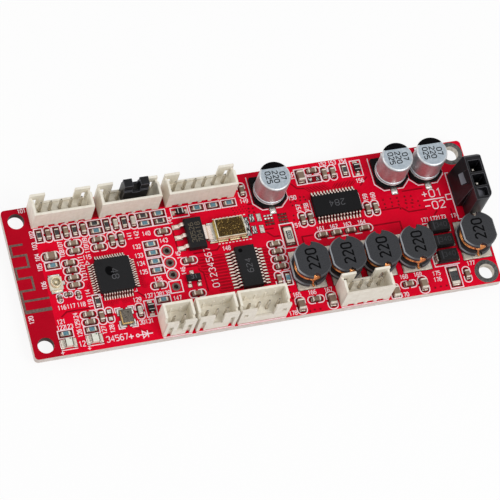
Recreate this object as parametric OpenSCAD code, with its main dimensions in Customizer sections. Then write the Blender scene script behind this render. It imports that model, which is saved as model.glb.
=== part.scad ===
// Audio amplifier board: a red circuit board that carries shrouded pin headers, a latched
// power connector, can capacitors, drum inductors, chips and small surface-mount parts.
// Millimetres, +Z up, X along the board. The origin lies under the middle of the board,
// level with the tips of the solder tails.

/* [Board] */
// Length of the board along X
board_l = 94.4; // [94:0.2:120]
// Width of the board along Y
board_w = 31.2; // [31:0.2:50]
// Thickness of the board
board_t = 1.6; // [0.8:0.1:2.4]
// Radius of the board's corners
board_corner_r = 0.8; // [0.2:0.1:1.6]
// Diameter of the four mounting holes
mount_hole_d = 3.2; // [2:0.1:3.6]
// From the board's edges to the centres of the mounting holes
mount_inset = 2.6; // [2.2:0.1:2.8]
// Diameter of the spare plated holes
spare_hole_d = 1; // [0.6:0.1:1.6]
// Pitch of the row of spare holes
spare_pitch = 2.54; // [2:0.02:2.8]

/* [Headers] */
// Pitch of the header pins
pin_pitch = 2; // [1.9:0.05:2.1]
// From an end pin's centre to the end of its housing
header_end = 1.95; // [1.7:0.05:2]
// Depth of a housing across its row of pins
header_d = 4.5; // [4.3:0.1:4.6]
// Height of a housing above the board
header_h = 6; // [5:0.1:8]
// Thickness of a housing's walls
header_wall = 0.5; // [0.35:0.05:0.6]
// Thickness of a housing's floor
header_floor = 1.8; // [1:0.1:2]
// From the plain wall's outer face to the row of pins
header_pin_y = 2.75; // [2.6:0.05:2.9]
// Height of the low middle of the slotted wall
header_sill = 2.1; // [2:0.1:2.4]
// Length of the two ears that flank the low middle
header_ear = 3; // [1.8:0.1:3.2]
// Least length of the low middle, on a short header
header_gap = 1.2; // [0.8:0.1:1.6]
// Width of the slit in each ear
slit_w = 0.8; // [0.3:0.05:1]
// From the end of the housing to the middle of the slit
slit_inset = 1.1; // [0.9:0.05:1.2]
// Height of the slits
slit_h = 4.2; // [3.8:0.1:4.8]
// Height where the slits start on the header whose ears have windows
window_low = 3; // [2.2:0.1:3.6]
// Width of the notch at the top of each end wall
notch_w = 0.9; // [0.4:0.1:1.2]
// Depth of the notch at the top of each end wall
notch_h = 1; // [0.4:0.1:2]
// Width of the small vent under the plain wall at each pin
vent_w = 1.3; // [0.6:0.1:1.5]
// Height of the small vents
vent_h = 0.7; // [0.1:0.05:0.8]
// Depth of the small vents under the housing
vent_d = 1.8; // [0.5:0.1:2]
// Width of the rib inside the plain wall at each pin
rib_w = 0.3; // [0.2:0.05:0.5]
// How far that rib stands out from the wall
rib_out = 0.15; // [0.05:0.05:0.3]
// Height of that rib above the housing's floor
rib_h = 2.2; // [1:0.1:3]

/* [Pins] */
// Side of a square header pin
pin_side = 0.5; // [0.3:0.05:0.6]
// Height of the header pins above the board
pin_top = 5.4; // [4.8:0.1:5.6]
// Length of the taper at a pin's two tips
pin_taper = 0.4; // [0.1:0.05:0.6]
// Length of the tails below the top of the board
pin_tail = 3.4; // [3.2:0.1:5]
// Gap between a pin and the plastic round it
pin_gap = 0.04; // [0.02:0.01:0.1]
// Diameter of the board's hole for a header pin
pin_hole_d = 0.9; // [0.86:0.02:1.2]
// Radius of a solder joint against the board
joint_r = 0.85; // [0.7:0.05:0.95]
// Height of a solder joint
joint_h = 0.7; // [0.3:0.1:0.8]
// Thickness of the solder round a pin's tail at the joint's tip
joint_lip = 0.12; // [0.08:0.02:0.2]

/* [Jumper] */
// Width of the jumper cap along the pins
jumper_w = 5; // [4.6:0.1:5]
// Gap between the jumper cap and the slotted wall behind it
jumper_room = 0.1; // [0.05:0.05:0.2]
// Height of the jumper cap
jumper_h = 6; // [5.4:0.1:8]
// Gap between the jumper cap and the housing's floor
jumper_lift = 0.6; // [0.5:0.1:0.8]
// Width of the open middle between the cap's two lugs
jumper_gap = 1.5; // [0.8:0.1:2]
// Setback of the lugs behind the cap's front and back faces
lug_setback = 0.3; // [0.1:0.05:0.5]
// Height of the ledge under the lugs above the pocket
lug_ledge = 0.6; // [0.3:0.1:1]
// Depth of the pocket that holds the clip
jumper_pocket = 3.6; // [3.3:0.1:4]
// Thickness of the clip's metal
clip_t = 0.2; // [0.1:0.05:0.25]
// Gap between the clip and a pin, and between the clip and the cap
clip_gap = 0.1; // [0.05:0.05:0.15]

/* [Can capacitors] */
// Diameter of a can
can_d = 6.3; // [5:0.1:6.6]
// Height of a can's top above the board
can_top = 7.7; // [5:0.1:12]
// Radius of the can's top edge
can_round = 0.45; // [0.1:0.05:0.8]
// Depth of the crimp round the can
crimp_depth = 0.35; // [0.1:0.05:0.5]
// Height of the crimp above the base plate
crimp_z = 0.9; // [0.6:0.1:1.5]
// Side of the square base plate
can_base = 6.6; // [6.4:0.1:6.9]
// Thickness of the base plate
can_base_t = 1.1; // [0.8:0.1:1.6]
// Chamfer of the base plate's two front corners
can_base_chamfer = 1.4; // [0.5:0.1:2]
// Width of a flat terminal
can_lead_w = 0.9; // [0.5:0.1:1.2]
// Thickness of a flat terminal
can_lead_t = 0.25; // [0.15:0.05:0.4]
// How far a terminal reaches out from under the base plate
can_lead_out = 0.8; // [0.3:0.1:1]
// Gap between the two terminals under the base plate
can_lead_gap = 1.2; // [0.8:0.1:2]

/* [Inductors] */
// Diameter of the core's flanges
drum_d = 7.7; // [7.2:0.1:7.8]
// Width of the core across its flats
drum_w = 6.9; // [6.4:0.1:7]
// Height of an inductor above the board
drum_h = 5; // [4.6:0.1:6]
// Thickness of each flange
flange_t = 1.1; // [0.8:0.1:1.2]
// Chamfer of the flanges' outer edges
flange_chamfer = 0.25; // [0.05:0.05:0.3]
// Diameter of the core's post
post_d = 4.2; // [3.6:0.1:4.4]
// Width of the notches in the flanges
drum_notch_w = 1.4; // [1.2:0.1:1.8]
// Depth of the notches in the flanges
drum_notch_d = 1; // [0.9:0.05:1.2]
// Diameter of the copper wire
wire_d = 0.5; // [0.4:0.05:0.6]
// Gap between the winding and the core
wire_gap = 0.05; // [0.02:0.01:0.1]
// Length of an inductor's terminal along Y
drum_lead_l = 2.2; // [1.5:0.1:2.6]
// Width of an inductor's terminal
drum_lead_w = 5.6; // [4:0.1:6]
// Thickness of an inductor's terminal
drum_lead_t = 0.2; // [0.1:0.05:0.3]
// How far a terminal reaches out past the flange
drum_lead_out = 0.15; // [0.1:0.05:0.3]

/* [Controller chip] */
// Side of the square body
mcu_side = 7; // [6.8:0.1:7.2]
// Height of the body's top above the board
mcu_h = 1.5; // [1.2:0.1:2]
// Most that is cut off the body's corners along each side
mcu_corner = 0.6; // [0.2:0.1:0.8]
// Span across the tips of opposite leads
mcu_span = 9; // [8.6:0.1:9.2]
// Pitch of the leads
mcu_pitch = 0.5; // [0.46:0.01:0.52]
// Leads on each side
mcu_leads = 12; // [8:1:12]
// Width of a lead
mcu_lead_w = 0.22; // [0.12:0.02:0.28]

/* [Audio chip] */
// Width of the body between its rows of leads
codec_w = 4; // [3.6:0.1:4.4]
// Length of the body
codec_l = 8.7; // [8.4:0.1:8.8]
// Height of the body's top above the board
codec_h = 1.6; // [1.2:0.1:2]
// Span across the tips of opposite leads
codec_span = 7.2; // [6.6:0.1:7.4]
// Pitch of the leads
codec_pitch = 0.65; // [0.6:0.01:0.68]
// Leads on each side
codec_leads = 12; // [8:1:12]
// Width of a lead
codec_lead_w = 0.28; // [0.16:0.02:0.36]

/* [Amplifier chip] */
// Length of the body along its rows of leads
amp_l = 9.7; // [9.4:0.1:9.9]
// Width of the body between its rows of leads
amp_w = 4.4; // [4:0.1:4.8]
// Height of the body's top above the board
amp_h = 1.2; // [1:0.1:1.8]
// Span across the tips of opposite leads
amp_span = 6.4; // [6:0.1:6.8]
// Pitch of the leads
amp_pitch = 0.65; // [0.6:0.01:0.67]
// Leads on each side
amp_leads = 14; // [8:1:14]
// Width of a lead
amp_lead_w = 0.28; // [0.16:0.02:0.36]

/* [Moulded packages] */
// Gap between a moulded body and the board
standoff = 0.1; // [0.05:0.05:0.2]
// Draft of a moulded body's sides, from the leads to its top and bottom
mould_draft = 0.12; // [0.05:0.01:0.2]
// Thickness of the leads
lead_t = 0.15; // [0.1:0.01:0.2]
// Diameter of the dimple beside the first lead
dimple_d = 0.9; // [0.4:0.1:1.1]
// Depth of that dimple
dimple_depth = 0.08; // [0.04:0.02:0.12]

/* [Regulator and transistor] */
// Length of the regulator's body
reg_l = 6.5; // [6:0.1:6.8]
// Width of the regulator's body
reg_w = 3.5; // [3.2:0.1:3.6]
// Height of the regulator's top above the board
reg_h = 1.7; // [1.5:0.1:2]
// Span across the regulator's leads and tab
reg_span = 7; // [6.6:0.1:7.1]
// Pitch of the regulator's leads
reg_pitch = 2.3; // [2:0.1:2.4]
// Width of the regulator's leads
reg_lead_w = 0.75; // [0.6:0.05:0.9]
// Width of the regulator's tab
reg_tab_w = 3; // [2.6:0.1:3.4]
// Thickness of the regulator's leads
reg_lead_t = 0.28; // [0.2:0.02:0.36]
// Length of the transistor's body
trans_l = 2.9; // [2.6:0.1:3.1]
// Width of the transistor's body
trans_w = 1.4; // [1.2:0.1:1.6]
// Height of the transistor's top above the board
trans_h = 1.1; // [0.9:0.1:1.3]
// Span across the transistor's leads
trans_span = 2.7; // [2.4:0.1:3]
// Pitch of the transistor's pair of leads
trans_pitch = 1.9; // [1.7:0.05:2]
// Width of the transistor's leads
trans_lead_w = 0.45; // [0.3:0.05:0.6]

/* [Diodes, fuse and lamps] */
// Length of a power diode's body
diode_l = 4; // [3.6:0.1:4.2]
// Width of a power diode's body
diode_w = 2.4; // [2.2:0.1:2.6]
// Height of a power diode's top above the board
diode_h = 2.1; // [1.8:0.1:2.4]
// Pitch of the column of power diodes
diode_pitch = 3.2; // [3.1:0.05:3.3]
// Width of a power diode's terminals
diode_lead_w = 1.5; // [1.2:0.1:1.8]
// Thickness of a power diode's terminals
diode_lead_t = 0.25; // [0.15:0.05:0.3]
// Length of a power diode's terminal under the body
diode_foot = 1; // [0.6:0.1:1.4]
// Length of a signal diode's body
signal_l = 1.7; // [1.5:0.1:1.9]
// Width of a signal diode's body
signal_w = 1.25; // [1:0.05:1.4]
// Height of a signal diode's top above the board
signal_h = 1; // [0.8:0.1:1.2]
// Span across a signal diode's leads
signal_span = 2.6; // [2.4:0.1:2.7]
// Width of a signal diode's leads
signal_lead_w = 0.4; // [0.25:0.05:0.6]
// Length of the fuse's body
fuse_l = 5.8; // [5.4:0.1:6]
// Width of the fuse's body
fuse_w = 4; // [3.6:0.1:4.4]
// Height of the fuse's top above the board
fuse_h = 1.5; // [1.2:0.1:2]
// Length of the fuse with its straps
fuse_span = 7; // [6.6:0.1:7.1]
// Thickness of the fuse's straps
fuse_strap_t = 0.2; // [0.15:0.05:0.3]
// Width of the rim round the fuse's top
fuse_rim = 0.3; // [0.2:0.05:0.5]
// Depth of the tray inside that rim
fuse_tray = 0.1; // [0.05:0.05:0.3]
// Length of a strap's foot under the fuse
fuse_foot = 1.6; // [1:0.1:2.4]
// Length of an indicator lamp
lamp_l = 3; // [2.6:0.1:3.2]
// Width of an indicator lamp
lamp_w = 1.6; // [1.2:0.1:2]
// Thickness of a lamp's base
lamp_base_t = 0.5; // [0.3:0.05:0.7]
// Height of a lamp's top above the board
lamp_h = 1.2; // [1:0.1:1.6]
// Length of a lamp's lens
lamp_lens_l = 1.9; // [1.5:0.1:2]
// Lean of the lens's two ends
lamp_lean = 0.15; // [0.05:0.05:0.4]
// Length of a lamp's metal ends
lamp_end = 0.45; // [0.3:0.05:0.5]

/* [Crystal and antenna socket] */
// Width of the crystal along X
crystal_w = 2.5; // [2.2:0.1:2.7]
// Length of the crystal along Y
crystal_l = 3.2; // [3:0.1:3.4]
// Height of the crystal's ceramic base
crystal_base_t = 0.45; // [0.3:0.05:0.6]
// Height of the crystal's top above the board
crystal_h = 0.75; // [0.7:0.05:1]
// Margin of the base round the lid
crystal_margin = 0.12; // [0.08:0.02:0.3]
// Side of the antenna socket's square insulator
coax_side = 2.6; // [2.4:0.1:2.8]
// Thickness of the insulator
coax_base_t = 0.4; // [0.3:0.05:0.6]
// Outer diameter of the socket's ring
coax_ring_d = 2; // [1.8:0.1:2.2]
// Wall of the socket's ring
coax_wall = 0.18; // [0.12:0.02:0.25]
// Height of the ring's top above the board
coax_h = 1.25; // [1.1:0.05:1.6]
// Diameter of the socket's centre pin
coax_pin_d = 0.5; // [0.3:0.05:0.6]
// Height of the centre pin's tip above the board
coax_pin_top = 1.05; // [0.7:0.05:1.1]
// Width of the socket's solder tabs
coax_tab_w = 1.8; // [1.2:0.1:2.2]
// How far the solder tabs reach out
coax_tab_out = 0.3; // [0.2:0.05:0.4]
// Thickness of the solder tabs
coax_tab_t = 0.2; // [0.1:0.05:0.25]

/* [Power connector] */
// Length of the connector along Y
power_l = 9.8; // [9.4:0.1:10]
// Width of the connector at the board
power_w = 4.7; // [4.5:0.1:4.9]
// Height of the connector above the board
power_h = 8.8; // [8:0.1:11]
// How far the latch face leans in from the board to the top
power_lean = 1.3; // [0.8:0.1:1.5]
// Length of the leaning latch face from the connector's rear
latch_l = 7; // [6.4:0.1:7.6]
// Radius of the rear corner away from the latch
power_rear_r = 0.7; // [0.2:0.1:1]
// Radius of the front corner away from the latch
power_front_r = 1.4; // [0.4:0.1:1.6]
// Pitch of the two contacts
power_pitch = 3; // [2.9:0.05:3.1]
// Side of each square cavity
power_cell = 2.5; // [2.2:0.1:2.6]
// Thickness of the wall away from the latch
power_wall = 0.45; // [0.3:0.05:0.6]
// Thickness of the rear wall
power_rear_wall = 1.4; // [1:0.1:1.6]
// Chamfer along the top of the rear wall
power_rear_cut = 0.5; // [0.2:0.1:0.8]
// Thickness of the connector's floor
power_floor = 2; // [1.2:0.1:3]
// Side of a square contact
power_pin = 0.8; // [0.6:0.1:1]
// Height of the contacts above the board
power_pin_top = 7; // [5:0.1:7.4]
// Diameter of the board's hole for a contact
power_hole_d = 1.3; // [1.2:0.05:1.5]
// Length of the blind pocket at the connector's front
pocket_l = 1.8; // [1:0.1:1.9]
// Thickness of the wall in front of that pocket
pocket_wall = 0.6; // [0.4:0.05:0.7]
// Width of that pocket
pocket_w = 2; // [1.4:0.1:2.1]
// Depth of that pocket at its deep side, away from the latch
pocket_h = 2; // [0.8:0.1:3]
// Depth of that pocket at the side of the latch
pocket_low = 0.4; // [0.2:0.1:0.8]
// Width of the latch ramp
ramp_w = 2.4; // [1.8:0.1:2.8]
// Reach of the latch ramp from the latch face
ramp_out = 1.1; // [0.6:0.1:1.2]
// Height of the latch ramp's lower edge above the board
ramp_z = 6.5; // [5:0.1:6.8]
// Height of the latch ramp
ramp_h = 1.5; // [1.4:0.1:2]
// Width of the board lock at the connector's front
lock_w = 1.8; // [1.4:0.1:2.2]
// Thickness of the board lock's metal
lock_t = 0.3; // [0.2:0.05:0.35]
// Height of the board lock above the board
lock_h = 2.4; // [1.5:0.1:3]
// Width of the board lock's tail
lock_tail_w = 1; // [0.8:0.1:1.2]
// Diameter of the board's hole for the lock's tail
lock_hole_d = 1.4; // [1.3:0.05:1.6]

/* [Small chips] */
// Length of a small chip
small_l = 1.6; // [1.4:0.1:1.7]
// Width of a small chip
small_w = 0.8; // [0.7:0.05:0.9]
// Length of a tiny chip
tiny_l = 1; // [0.8:0.1:1.1]
// Width of a tiny chip
tiny_w = 0.5; // [0.4:0.05:0.6]
// Length of a large chip
large_l = 2; // [1.8:0.1:2.2]
// Width of a large chip
large_w = 1.25; // [1:0.05:1.35]
// Length of a power chip
power_chip_l = 3.2; // [3:0.1:3.4]
// Width of a power chip
power_chip_w = 1.6; // [1.4:0.1:1.7]
// Length of the raised block on the sense chip
sense_block_l = 1.7; // [1:0.1:2]
// Width of that block
sense_block_w = 1; // [0.6:0.1:1.3]
// Thickness of that block
sense_block_t = 0.15; // [0.05:0.05:0.3]
// Height of a chip capacitor for each millimetre of its width
cap_rise = 0.9; // [0.6:0.05:1]
// Height of a chip resistor
resistor_h = 0.45; // [0.35:0.05:0.6]
// Thickness of a chip resistor's coloured coat
coat_t = 0.05; // [0.03:0.01:0.08]
// Length of the metal end of a chip for each millimetre of its length
end_share = 0.18; // [0.12:0.02:0.24]

/* [Hidden] */

$fn = 48;
// Overlap of a cut past the face that it opens
cut = 0.5;
// Where a lead bends down and where it lands, as shares of its reach from the body
knee_share = 0.25;
heel_share = 0.5;
// Height of the board's two faces
top_z = pin_tail;
under_z = pin_tail - board_t;

// Colours of the materials
mask_red = "#c8102e";
cream = "#e9e1cf";
tin = "#c9c9c4";
black = "#1d1d1f";
ferrite = "#46474b";
copper = "#c4722f";
gold = "#c9a24a";

// Length and width of the board that the places below are drawn on
DRAWN = [94.4, 31.2];
// How far the places spread on the board as it is: never closer together along its length
spread_x = max(1, board_l / DRAWN[0]);
spread_y = board_w / DRAWN[1];
function spot(x, y) = [x * spread_x, y * spread_y];
function spread(places) = [for (p = places) concat(spot(p[0], p[1]), len(p) > 2 ? p[2] : 0)];

// Margins of the two rows of headers to the board's edges
far_margin = 0.1;
near_margin = 0.3;
// Distances from the board's middle to the middles of the two rows of headers
far_row = board_w / 2 - far_margin - header_d / 2;
near_row = board_w / 2 - near_margin - header_d / 2;
// Each header: pins, middle along X, side of the board, turn of its plain wall from the front,
// height where its slits start
HEADERS = [
    [5, -36.1, 1, 0, 0], [5, -22.7, 1, 0, 0], [6, -8.35, 1, 0, 0],
    [2, -19.3, -1, 180, 0], [3, -11.8, -1, 180, 0], [4, -2.45, -1, 180, window_low],
    [4, 18.6, -1, 0, 0]
];
// The header that carries the jumper, and the first of the two pins under it
jumper_header = 1;
jumper_pin = 2;
// Middles of the can capacitors
CANS = spread([[5.6, 10.8], [30.9, 10.8], [38.1, 10.8]]);
// Middles of the single parts
mcu_at = spot(-28.6, -1.4);
codec_at = spot(-2.4, -4.25);
amp_at = spot(18.4, 5.95);
reg_at = spot(-11.1, 4.3);
trans_at = spot(-13.5, -4.5);
fuse_at = spot(-4, 4.4);
crystal_at = spot(-28.2, -10.1);
coax_at = spot(-40, -1.05);
// Middle of the power connector's face away from the latch, at the end of the board
power_at = spot(47.1, 3.6);
// First of the spare holes, and how many follow each other
spare_at = spot(-17.2, 2.05);
spare_count = 4;
// First of the column of power diodes, and how many follow each other
diode_at = spot(37.3, -2.5);
diode_count = 3;

// A row of chips: the first one's place, the step to the next, how many, and their turn
function row(x, y, dx, dy, n, turn) = [for (i = [0 : n - 1]) [x + i * dx, y + i * dy, turn]];

SIGNAL_DIODES = spread([[-12.75, 9.6, 0], [-23.1, -9.1, 90], [24.6, 13, 90]]);
LAMPS = spread(row(-40.3, -13.4, 5.1, 0, 2, 0));
POWER_CHIPS = spread([[37.8, -13, 90]]);
SENSE_CHIPS = spread([[7.35, 1.1, 90]]);
BLACK_RESISTORS = spread(concat(
    row(-40.9, 9.3, 3.5, 0, 3, 90), row(-27.5, 9.3, 3.5, 0, 2, 90),
    [[-29.8, 10, 0], [-20.1, 10, 0], [-17, 8.4, 0], [-32.9, -6, 90], [22.1, 13, 90]]
));
BLUE_RESISTORS = spread(concat(
    row(-20, 3.9, 0, -1.85, 4, 0), row(-9.2, 9.9, 3.25, 0, 3, 0), row(-40.4, -11.4, 5.1, 0, 2, 0),
    [[-29.8, 8.45, 0], [-20.1, 8.4, 0], [-17, 10, 0], [-20.3, -7.8, 0],
     [-39.7, 2.75, 0], [4.85, -7.6, 90]]
));
SMALL_CAPS = spread(concat(
    row(-39.15, 9.3, 3.5, 0, 3, 90), row(-25.75, 9.3, 3.5, 0, 2, 90),
    row(-34.8, 6.6, 0, -1.6, 2, 0), row(-30, 6.6, 0, -1.6, 2, 0), row(-27.2, 6, 1.75, 0, 2, 90),
    row(-36.3, 2.7, 0, -1.55, 4, 0), row(-35.2, -8.3, 0, -1.55, 2, 0),
    row(4.2, -0.2, 0, -1.6, 4, 0), row(17.85, 12.9, 1.75, 0, 2, 90),
    row(11, 4, 1.55, 0, 2, 90), row(24.5, 4, 1.65, 0, 2, 90), row(14.1, 0.1, 2.9, 0, 4, 0),
    [[-20.4, -4.75, 0], [-17, 6.1, 0], [-13.4, -0.7, 0], [-13.4, -7.7, 0], [-32.8, -9.1, 90],
     [-25.3, -9.3, 90], [3.1, -7.6, 90], [0.5, 12.1, 90], [15.5, 13.9, 0], [9.2, -12.9, 0],
     [28.3, -13, 0], [40.5, -13, 90]]
));
TINY_CAPS = spread([[-39.85, -4.1, 90], [-38.1, -3.55, 0], [-36.2, -4, 90]]);
LARGE_CAPS = spread([
    [-39.65, 4.65, 0], [12.9, 13, 90], [5.95, -13.6, 90], [12.25, -13.6, 90],
    [25.2, -14.2, 90], [31.2, -13.6, 90]
]);

// Moves its children to each place on the board's top face
module at(places) {
    for (p = places) translate([p[0], p[1], top_z]) rotate(len(p) > 2 ? p[2] : 0) children();
}

// A box that stands on the middle of its bottom face
module block(x, y, z) {
    translate([-x / 2, -y / 2, 0]) cube([x, y, z]);
}

// A profile in the XZ plane, drawn out along Y about the middle
module along_y(length) {
    translate([0, length / 2, 0]) rotate([90, 0, 0]) linear_extrude(length) children();
}

// A profile in the YZ plane, drawn out along X about the middle
module along_x(length) {
    translate([-length / 2, 0, 0]) rotate([90, 0, 90]) linear_extrude(length) children();
}

// Side view of a moulded body: drafted above and below a flat band for the leads
module moulded_profile(width, top, band_z, band_t) {
    half = width / 2;
    polygon([
        [-half + mould_draft, standoff], [half - mould_draft, standoff], [half, band_z],
        [half, band_z + band_t], [half - mould_draft, top], [-half + mould_draft, top],
        [-half, band_z + band_t], [-half, band_z]
    ]);
}

// A moulded body whose four sides have draft
module moulded_body(x, y, top, band_t) {
    band_z = lead_exit(top, band_t);
    intersection() {
        along_y(y) moulded_profile(x, top, band_z, band_t);
        along_x(x) moulded_profile(y, top, band_z, band_t);
    }
}

// Height at which the leads leave a moulded body
function lead_exit(top, band_t) = (standoff + top - band_t) / 2;

// One gull-wing lead that leaves the body along +X
module gull_lead(body_half, span_half, exit_z, thick, width) {
    reach = span_half - body_half;
    knee = body_half + reach * knee_share;
    heel = body_half + reach * heel_share;
    along_y(width) polygon([
        [body_half, exit_z], [knee - thick / 2, exit_z], [heel - thick / 2, 0], [span_half, 0],
        [span_half, thick], [heel + thick / 2, thick], [knee + thick / 2, exit_z + thick],
        [body_half, exit_z + thick]
    ]);
}

// A row of gull-wing leads along +X, spread evenly about the middle
module gull_row(count, pitch, body_half, span_half, exit_z, thick, width) {
    for (i = [0 : count - 1])
        translate([0, (i - (count - 1) / 2) * pitch, 0])
            gull_lead(body_half, span_half, exit_z, thick, width);
}

// Half the length of a header housing
function header_half(pins) = (pins - 1) * pin_pitch / 2 + header_end;

// Place of a header's pin along its row
function pin_x(pins, i) = (i - (pins - 1) / 2) * pin_pitch;

// Distance from the middle of a housing to its row of pins
pin_row = header_pin_y - header_d / 2;

// Moves its children to a header's place
module at_header(i) {
    h = HEADERS[i];
    translate([h[1] * spread_x, h[2] > 0 ? far_row : -near_row, top_z]) rotate(h[3]) children();
}

// Moves its children to each header pin, at the board's top face
module at_header_pins() {
    for (i = [0 : len(HEADERS) - 1])
        at_header(i)
            for (k = [0 : HEADERS[i][0] - 1])
                translate([pin_x(HEADERS[i][0], k), pin_row, 0]) children();
}

// Middle of the power connector's row of contacts
power_cell_x = power_at[0] - power_wall - power_cell / 2;
power_rear_y = power_at[1] + power_l / 2;
power_front_y = power_at[1] - power_l / 2;
function power_cell_y(i) = power_rear_y - power_rear_wall - power_cell / 2 - i * power_pitch;

// Moves its children to each power contact, at the board's top face
module at_power_pins() {
    for (i = [0, 1]) translate([power_cell_x, power_cell_y(i), top_z]) children();
}

// Moves its children to the board lock, at the board's top face
module at_lock() {
    translate([power_cell_x, power_front_y - lock_t / 2, top_z]) children();
}

// The board's outline
module board_outline() {
    inner = [board_l - 2 * board_corner_r, board_w - 2 * board_corner_r];
    square([board_l, inner[1]], center = true);
    square([inner[0], board_w], center = true);
    for (sx = [-1, 1], sy = [-1, 1])
        translate([sx * inner[0] / 2, sy * inner[1] / 2]) circle(board_corner_r);
}

module pcb() {
    color(mask_red) difference() {
        translate([0, 0, under_z]) linear_extrude(board_t) board_outline();
        for (sx = [-1, 1], sy = [-1, 1])
            translate([sx * (board_l / 2 - mount_inset), sy * (board_w / 2 - mount_inset), top_z])
                board_drill(mount_hole_d);
        for (i = [0 : spare_count - 1])
            translate([spare_at[0], spare_at[1] - i * spare_pitch, top_z]) board_drill(spare_hole_d);
        at_header_pins() board_drill(pin_hole_d);
        at_power_pins() board_drill(power_hole_d);
        at_lock() board_drill(lock_hole_d);
    }
}

// A hole through the board
module board_drill(d) {
    translate([0, 0, -board_t - cut]) cylinder(d = d, h = board_t + 2 * cut);
}

// Housing of a header: plain wall with ribs at the front, slotted wall with two ears at the back
module header(i) {
    pins = HEADERS[i][0];
    half = header_half(pins);
    back = header_d / 2;
    inner = back - header_wall;
    pin_slot = pin_side + 2 * pin_gap;
    slit_low = HEADERS[i][4] > 0 ? HEADERS[i][4] : -cut;
    middle = max(2 * (half - header_ear), header_gap);
    color(cream) at_header(i) difference() {
        block(2 * half, header_d, header_h);
        difference() {
            translate([0, 0, header_floor]) block(2 * (half - header_wall), 2 * inner, header_h);
            for (k = [0 : pins - 1])
                translate([pin_x(pins, k), -inner, 0]) block(rib_w, 2 * rib_out, header_floor + rib_h);
        }
        translate([0, back, header_sill]) block(middle, 2 * header_wall + cut, header_h);
        for (s = [-1, 1]) {
            translate([s * (half - slit_inset), back, slit_low])
                block(slit_w, 2 * header_wall, slit_h - slit_low);
            translate([s * half, inner - notch_w / 2, header_h - notch_h])
                block(2 * header_wall + cut, notch_w, notch_h + cut);
        }
        for (k = [0 : pins - 1]) {
            translate([pin_x(pins, k), pin_row, -cut]) block(pin_slot, pin_slot, header_h);
            translate([pin_x(pins, k), -back, -cut]) block(vent_w, 2 * vent_d, vent_h + cut);
        }
    }
}

// A square post with tapered tips, between two heights about the board's top face
module square_pin(side, low, high, taper) {
    half = side / 2;
    tip = half / 2;
    intersection() {
        along_y(side) pin_profile(half, tip, low, high, taper);
        along_x(side) pin_profile(half, tip, low, high, taper);
    }
}

module pin_profile(half, tip, low, high, taper) {
    polygon([
        [-tip, low], [tip, low], [half, low + taper], [half, high - taper],
        [tip, high], [-tip, high], [-half, high - taper], [-half, low + taper]
    ]);
}

module header_pins() {
    color(tin) at_header_pins() square_pin(pin_side, -pin_tail, pin_top, pin_taper);
}

// Moves its children to the middle of the jumper, at the cap's lower edge
module at_jumper() {
    pins = HEADERS[jumper_header][0];
    middle = (pin_x(pins, jumper_pin) + pin_x(pins, jumper_pin + 1)) / 2;
    at_header(jumper_header) translate([middle, pin_row, header_floor + jumper_lift]) children();
}

// Depth of the jumper cap, from the room behind the pins
jumper_d = 2 * (header_d - header_pin_y - header_wall - jumper_room);
// Outer size of the clip, round two pins
clip_l = pin_pitch + pin_side + 2 * clip_gap + 2 * clip_t;
clip_d = pin_side + 2 * clip_gap + 2 * clip_t;

module jumper_cap() {
    pocket_l = clip_l + 2 * clip_gap;
    pocket_d = clip_d + 2 * clip_gap;
    color(black) at_jumper() difference() {
        block(jumper_w, jumper_d, jumper_h);
        translate([0, 0, -cut]) block(pocket_l, pocket_d, jumper_pocket + cut);
        translate([0, 0, jumper_pocket]) block(jumper_gap, jumper_d + 2 * cut, jumper_h);
        for (s = [-1, 1])
            translate([0, s * jumper_d / 2, jumper_pocket + lug_ledge])
                block(jumper_w + 2 * cut, 2 * lug_setback, jumper_h);
    }
}

// Spring clip: a flat tube round two pins, roofed under the cap's open middle
module jumper_clip() {
    roof_z = jumper_pocket - clip_t;
    color(gold) at_jumper() difference() {
        block(clip_l, clip_d, jumper_pocket);
        translate([0, 0, -cut]) block(clip_l - 2 * clip_t, clip_d - 2 * clip_t, roof_z + cut);
    }
}

// Aluminium can with a rolled top edge and a crimp above the base plate
module can(i) {
    r = can_d / 2;
    seat = can_base_t;
    crimp = seat + crimp_z;
    color("#c6cace") at([CANS[i]]) rotate_extrude() difference() {
        union() {
            translate([0, seat]) square([r, can_top - can_round - seat]);
            translate([0, seat]) square([r - can_round, can_top - seat]);
            translate([r - can_round, can_top - can_round]) circle(can_round);
        }
        translate([r, crimp]) circle(crimp_depth);
    }
}

// Base plate: two chamfered corners at the front and a groove under it for each terminal
module can_base(i) {
    half = can_base / 2;
    c = can_base_chamfer;
    color(black) at([CANS[i]]) difference() {
        linear_extrude(can_base_t) polygon([
            [-half, half], [half, half], [half, -half + c],
            [half - c, -half], [-half + c, -half], [-half, -half + c]
        ]);
        translate([0, 0, -cut]) block(can_lead_w, can_base + 2 * cut, can_lead_t + cut);
    }
}

// Two flat terminals under each base plate
module can_leads() {
    length = (can_base - can_lead_gap) / 2 + can_lead_out;
    color(tin) at(CANS) for (s = [-1, 1])
        translate([0, s * (can_lead_gap + length) / 2, 0]) block(can_lead_w, length, can_lead_t);
}

// Gap from the row of four inductors to the headers beside it
drum_row_gap = 0.3;
// Gap from the fifth inductor to the power connector's lock
drum_end_gap = 0.3;
drum_reach = drum_d / 2 + drum_lead_out;
drum_row_y = -(near_row - header_d / 2 - drum_row_gap - drum_reach);
drum_end_y = power_front_y - lock_t - drum_end_gap - drum_reach;
// Middles of the inductors: a row of four and one by the power connector
DRUMS = concat(
    [for (x = [9.2, 16.45, 23.7, 30.95]) [x * spread_x, drum_row_y]], [[43.7 * spread_x, drum_end_y]]
);

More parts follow.
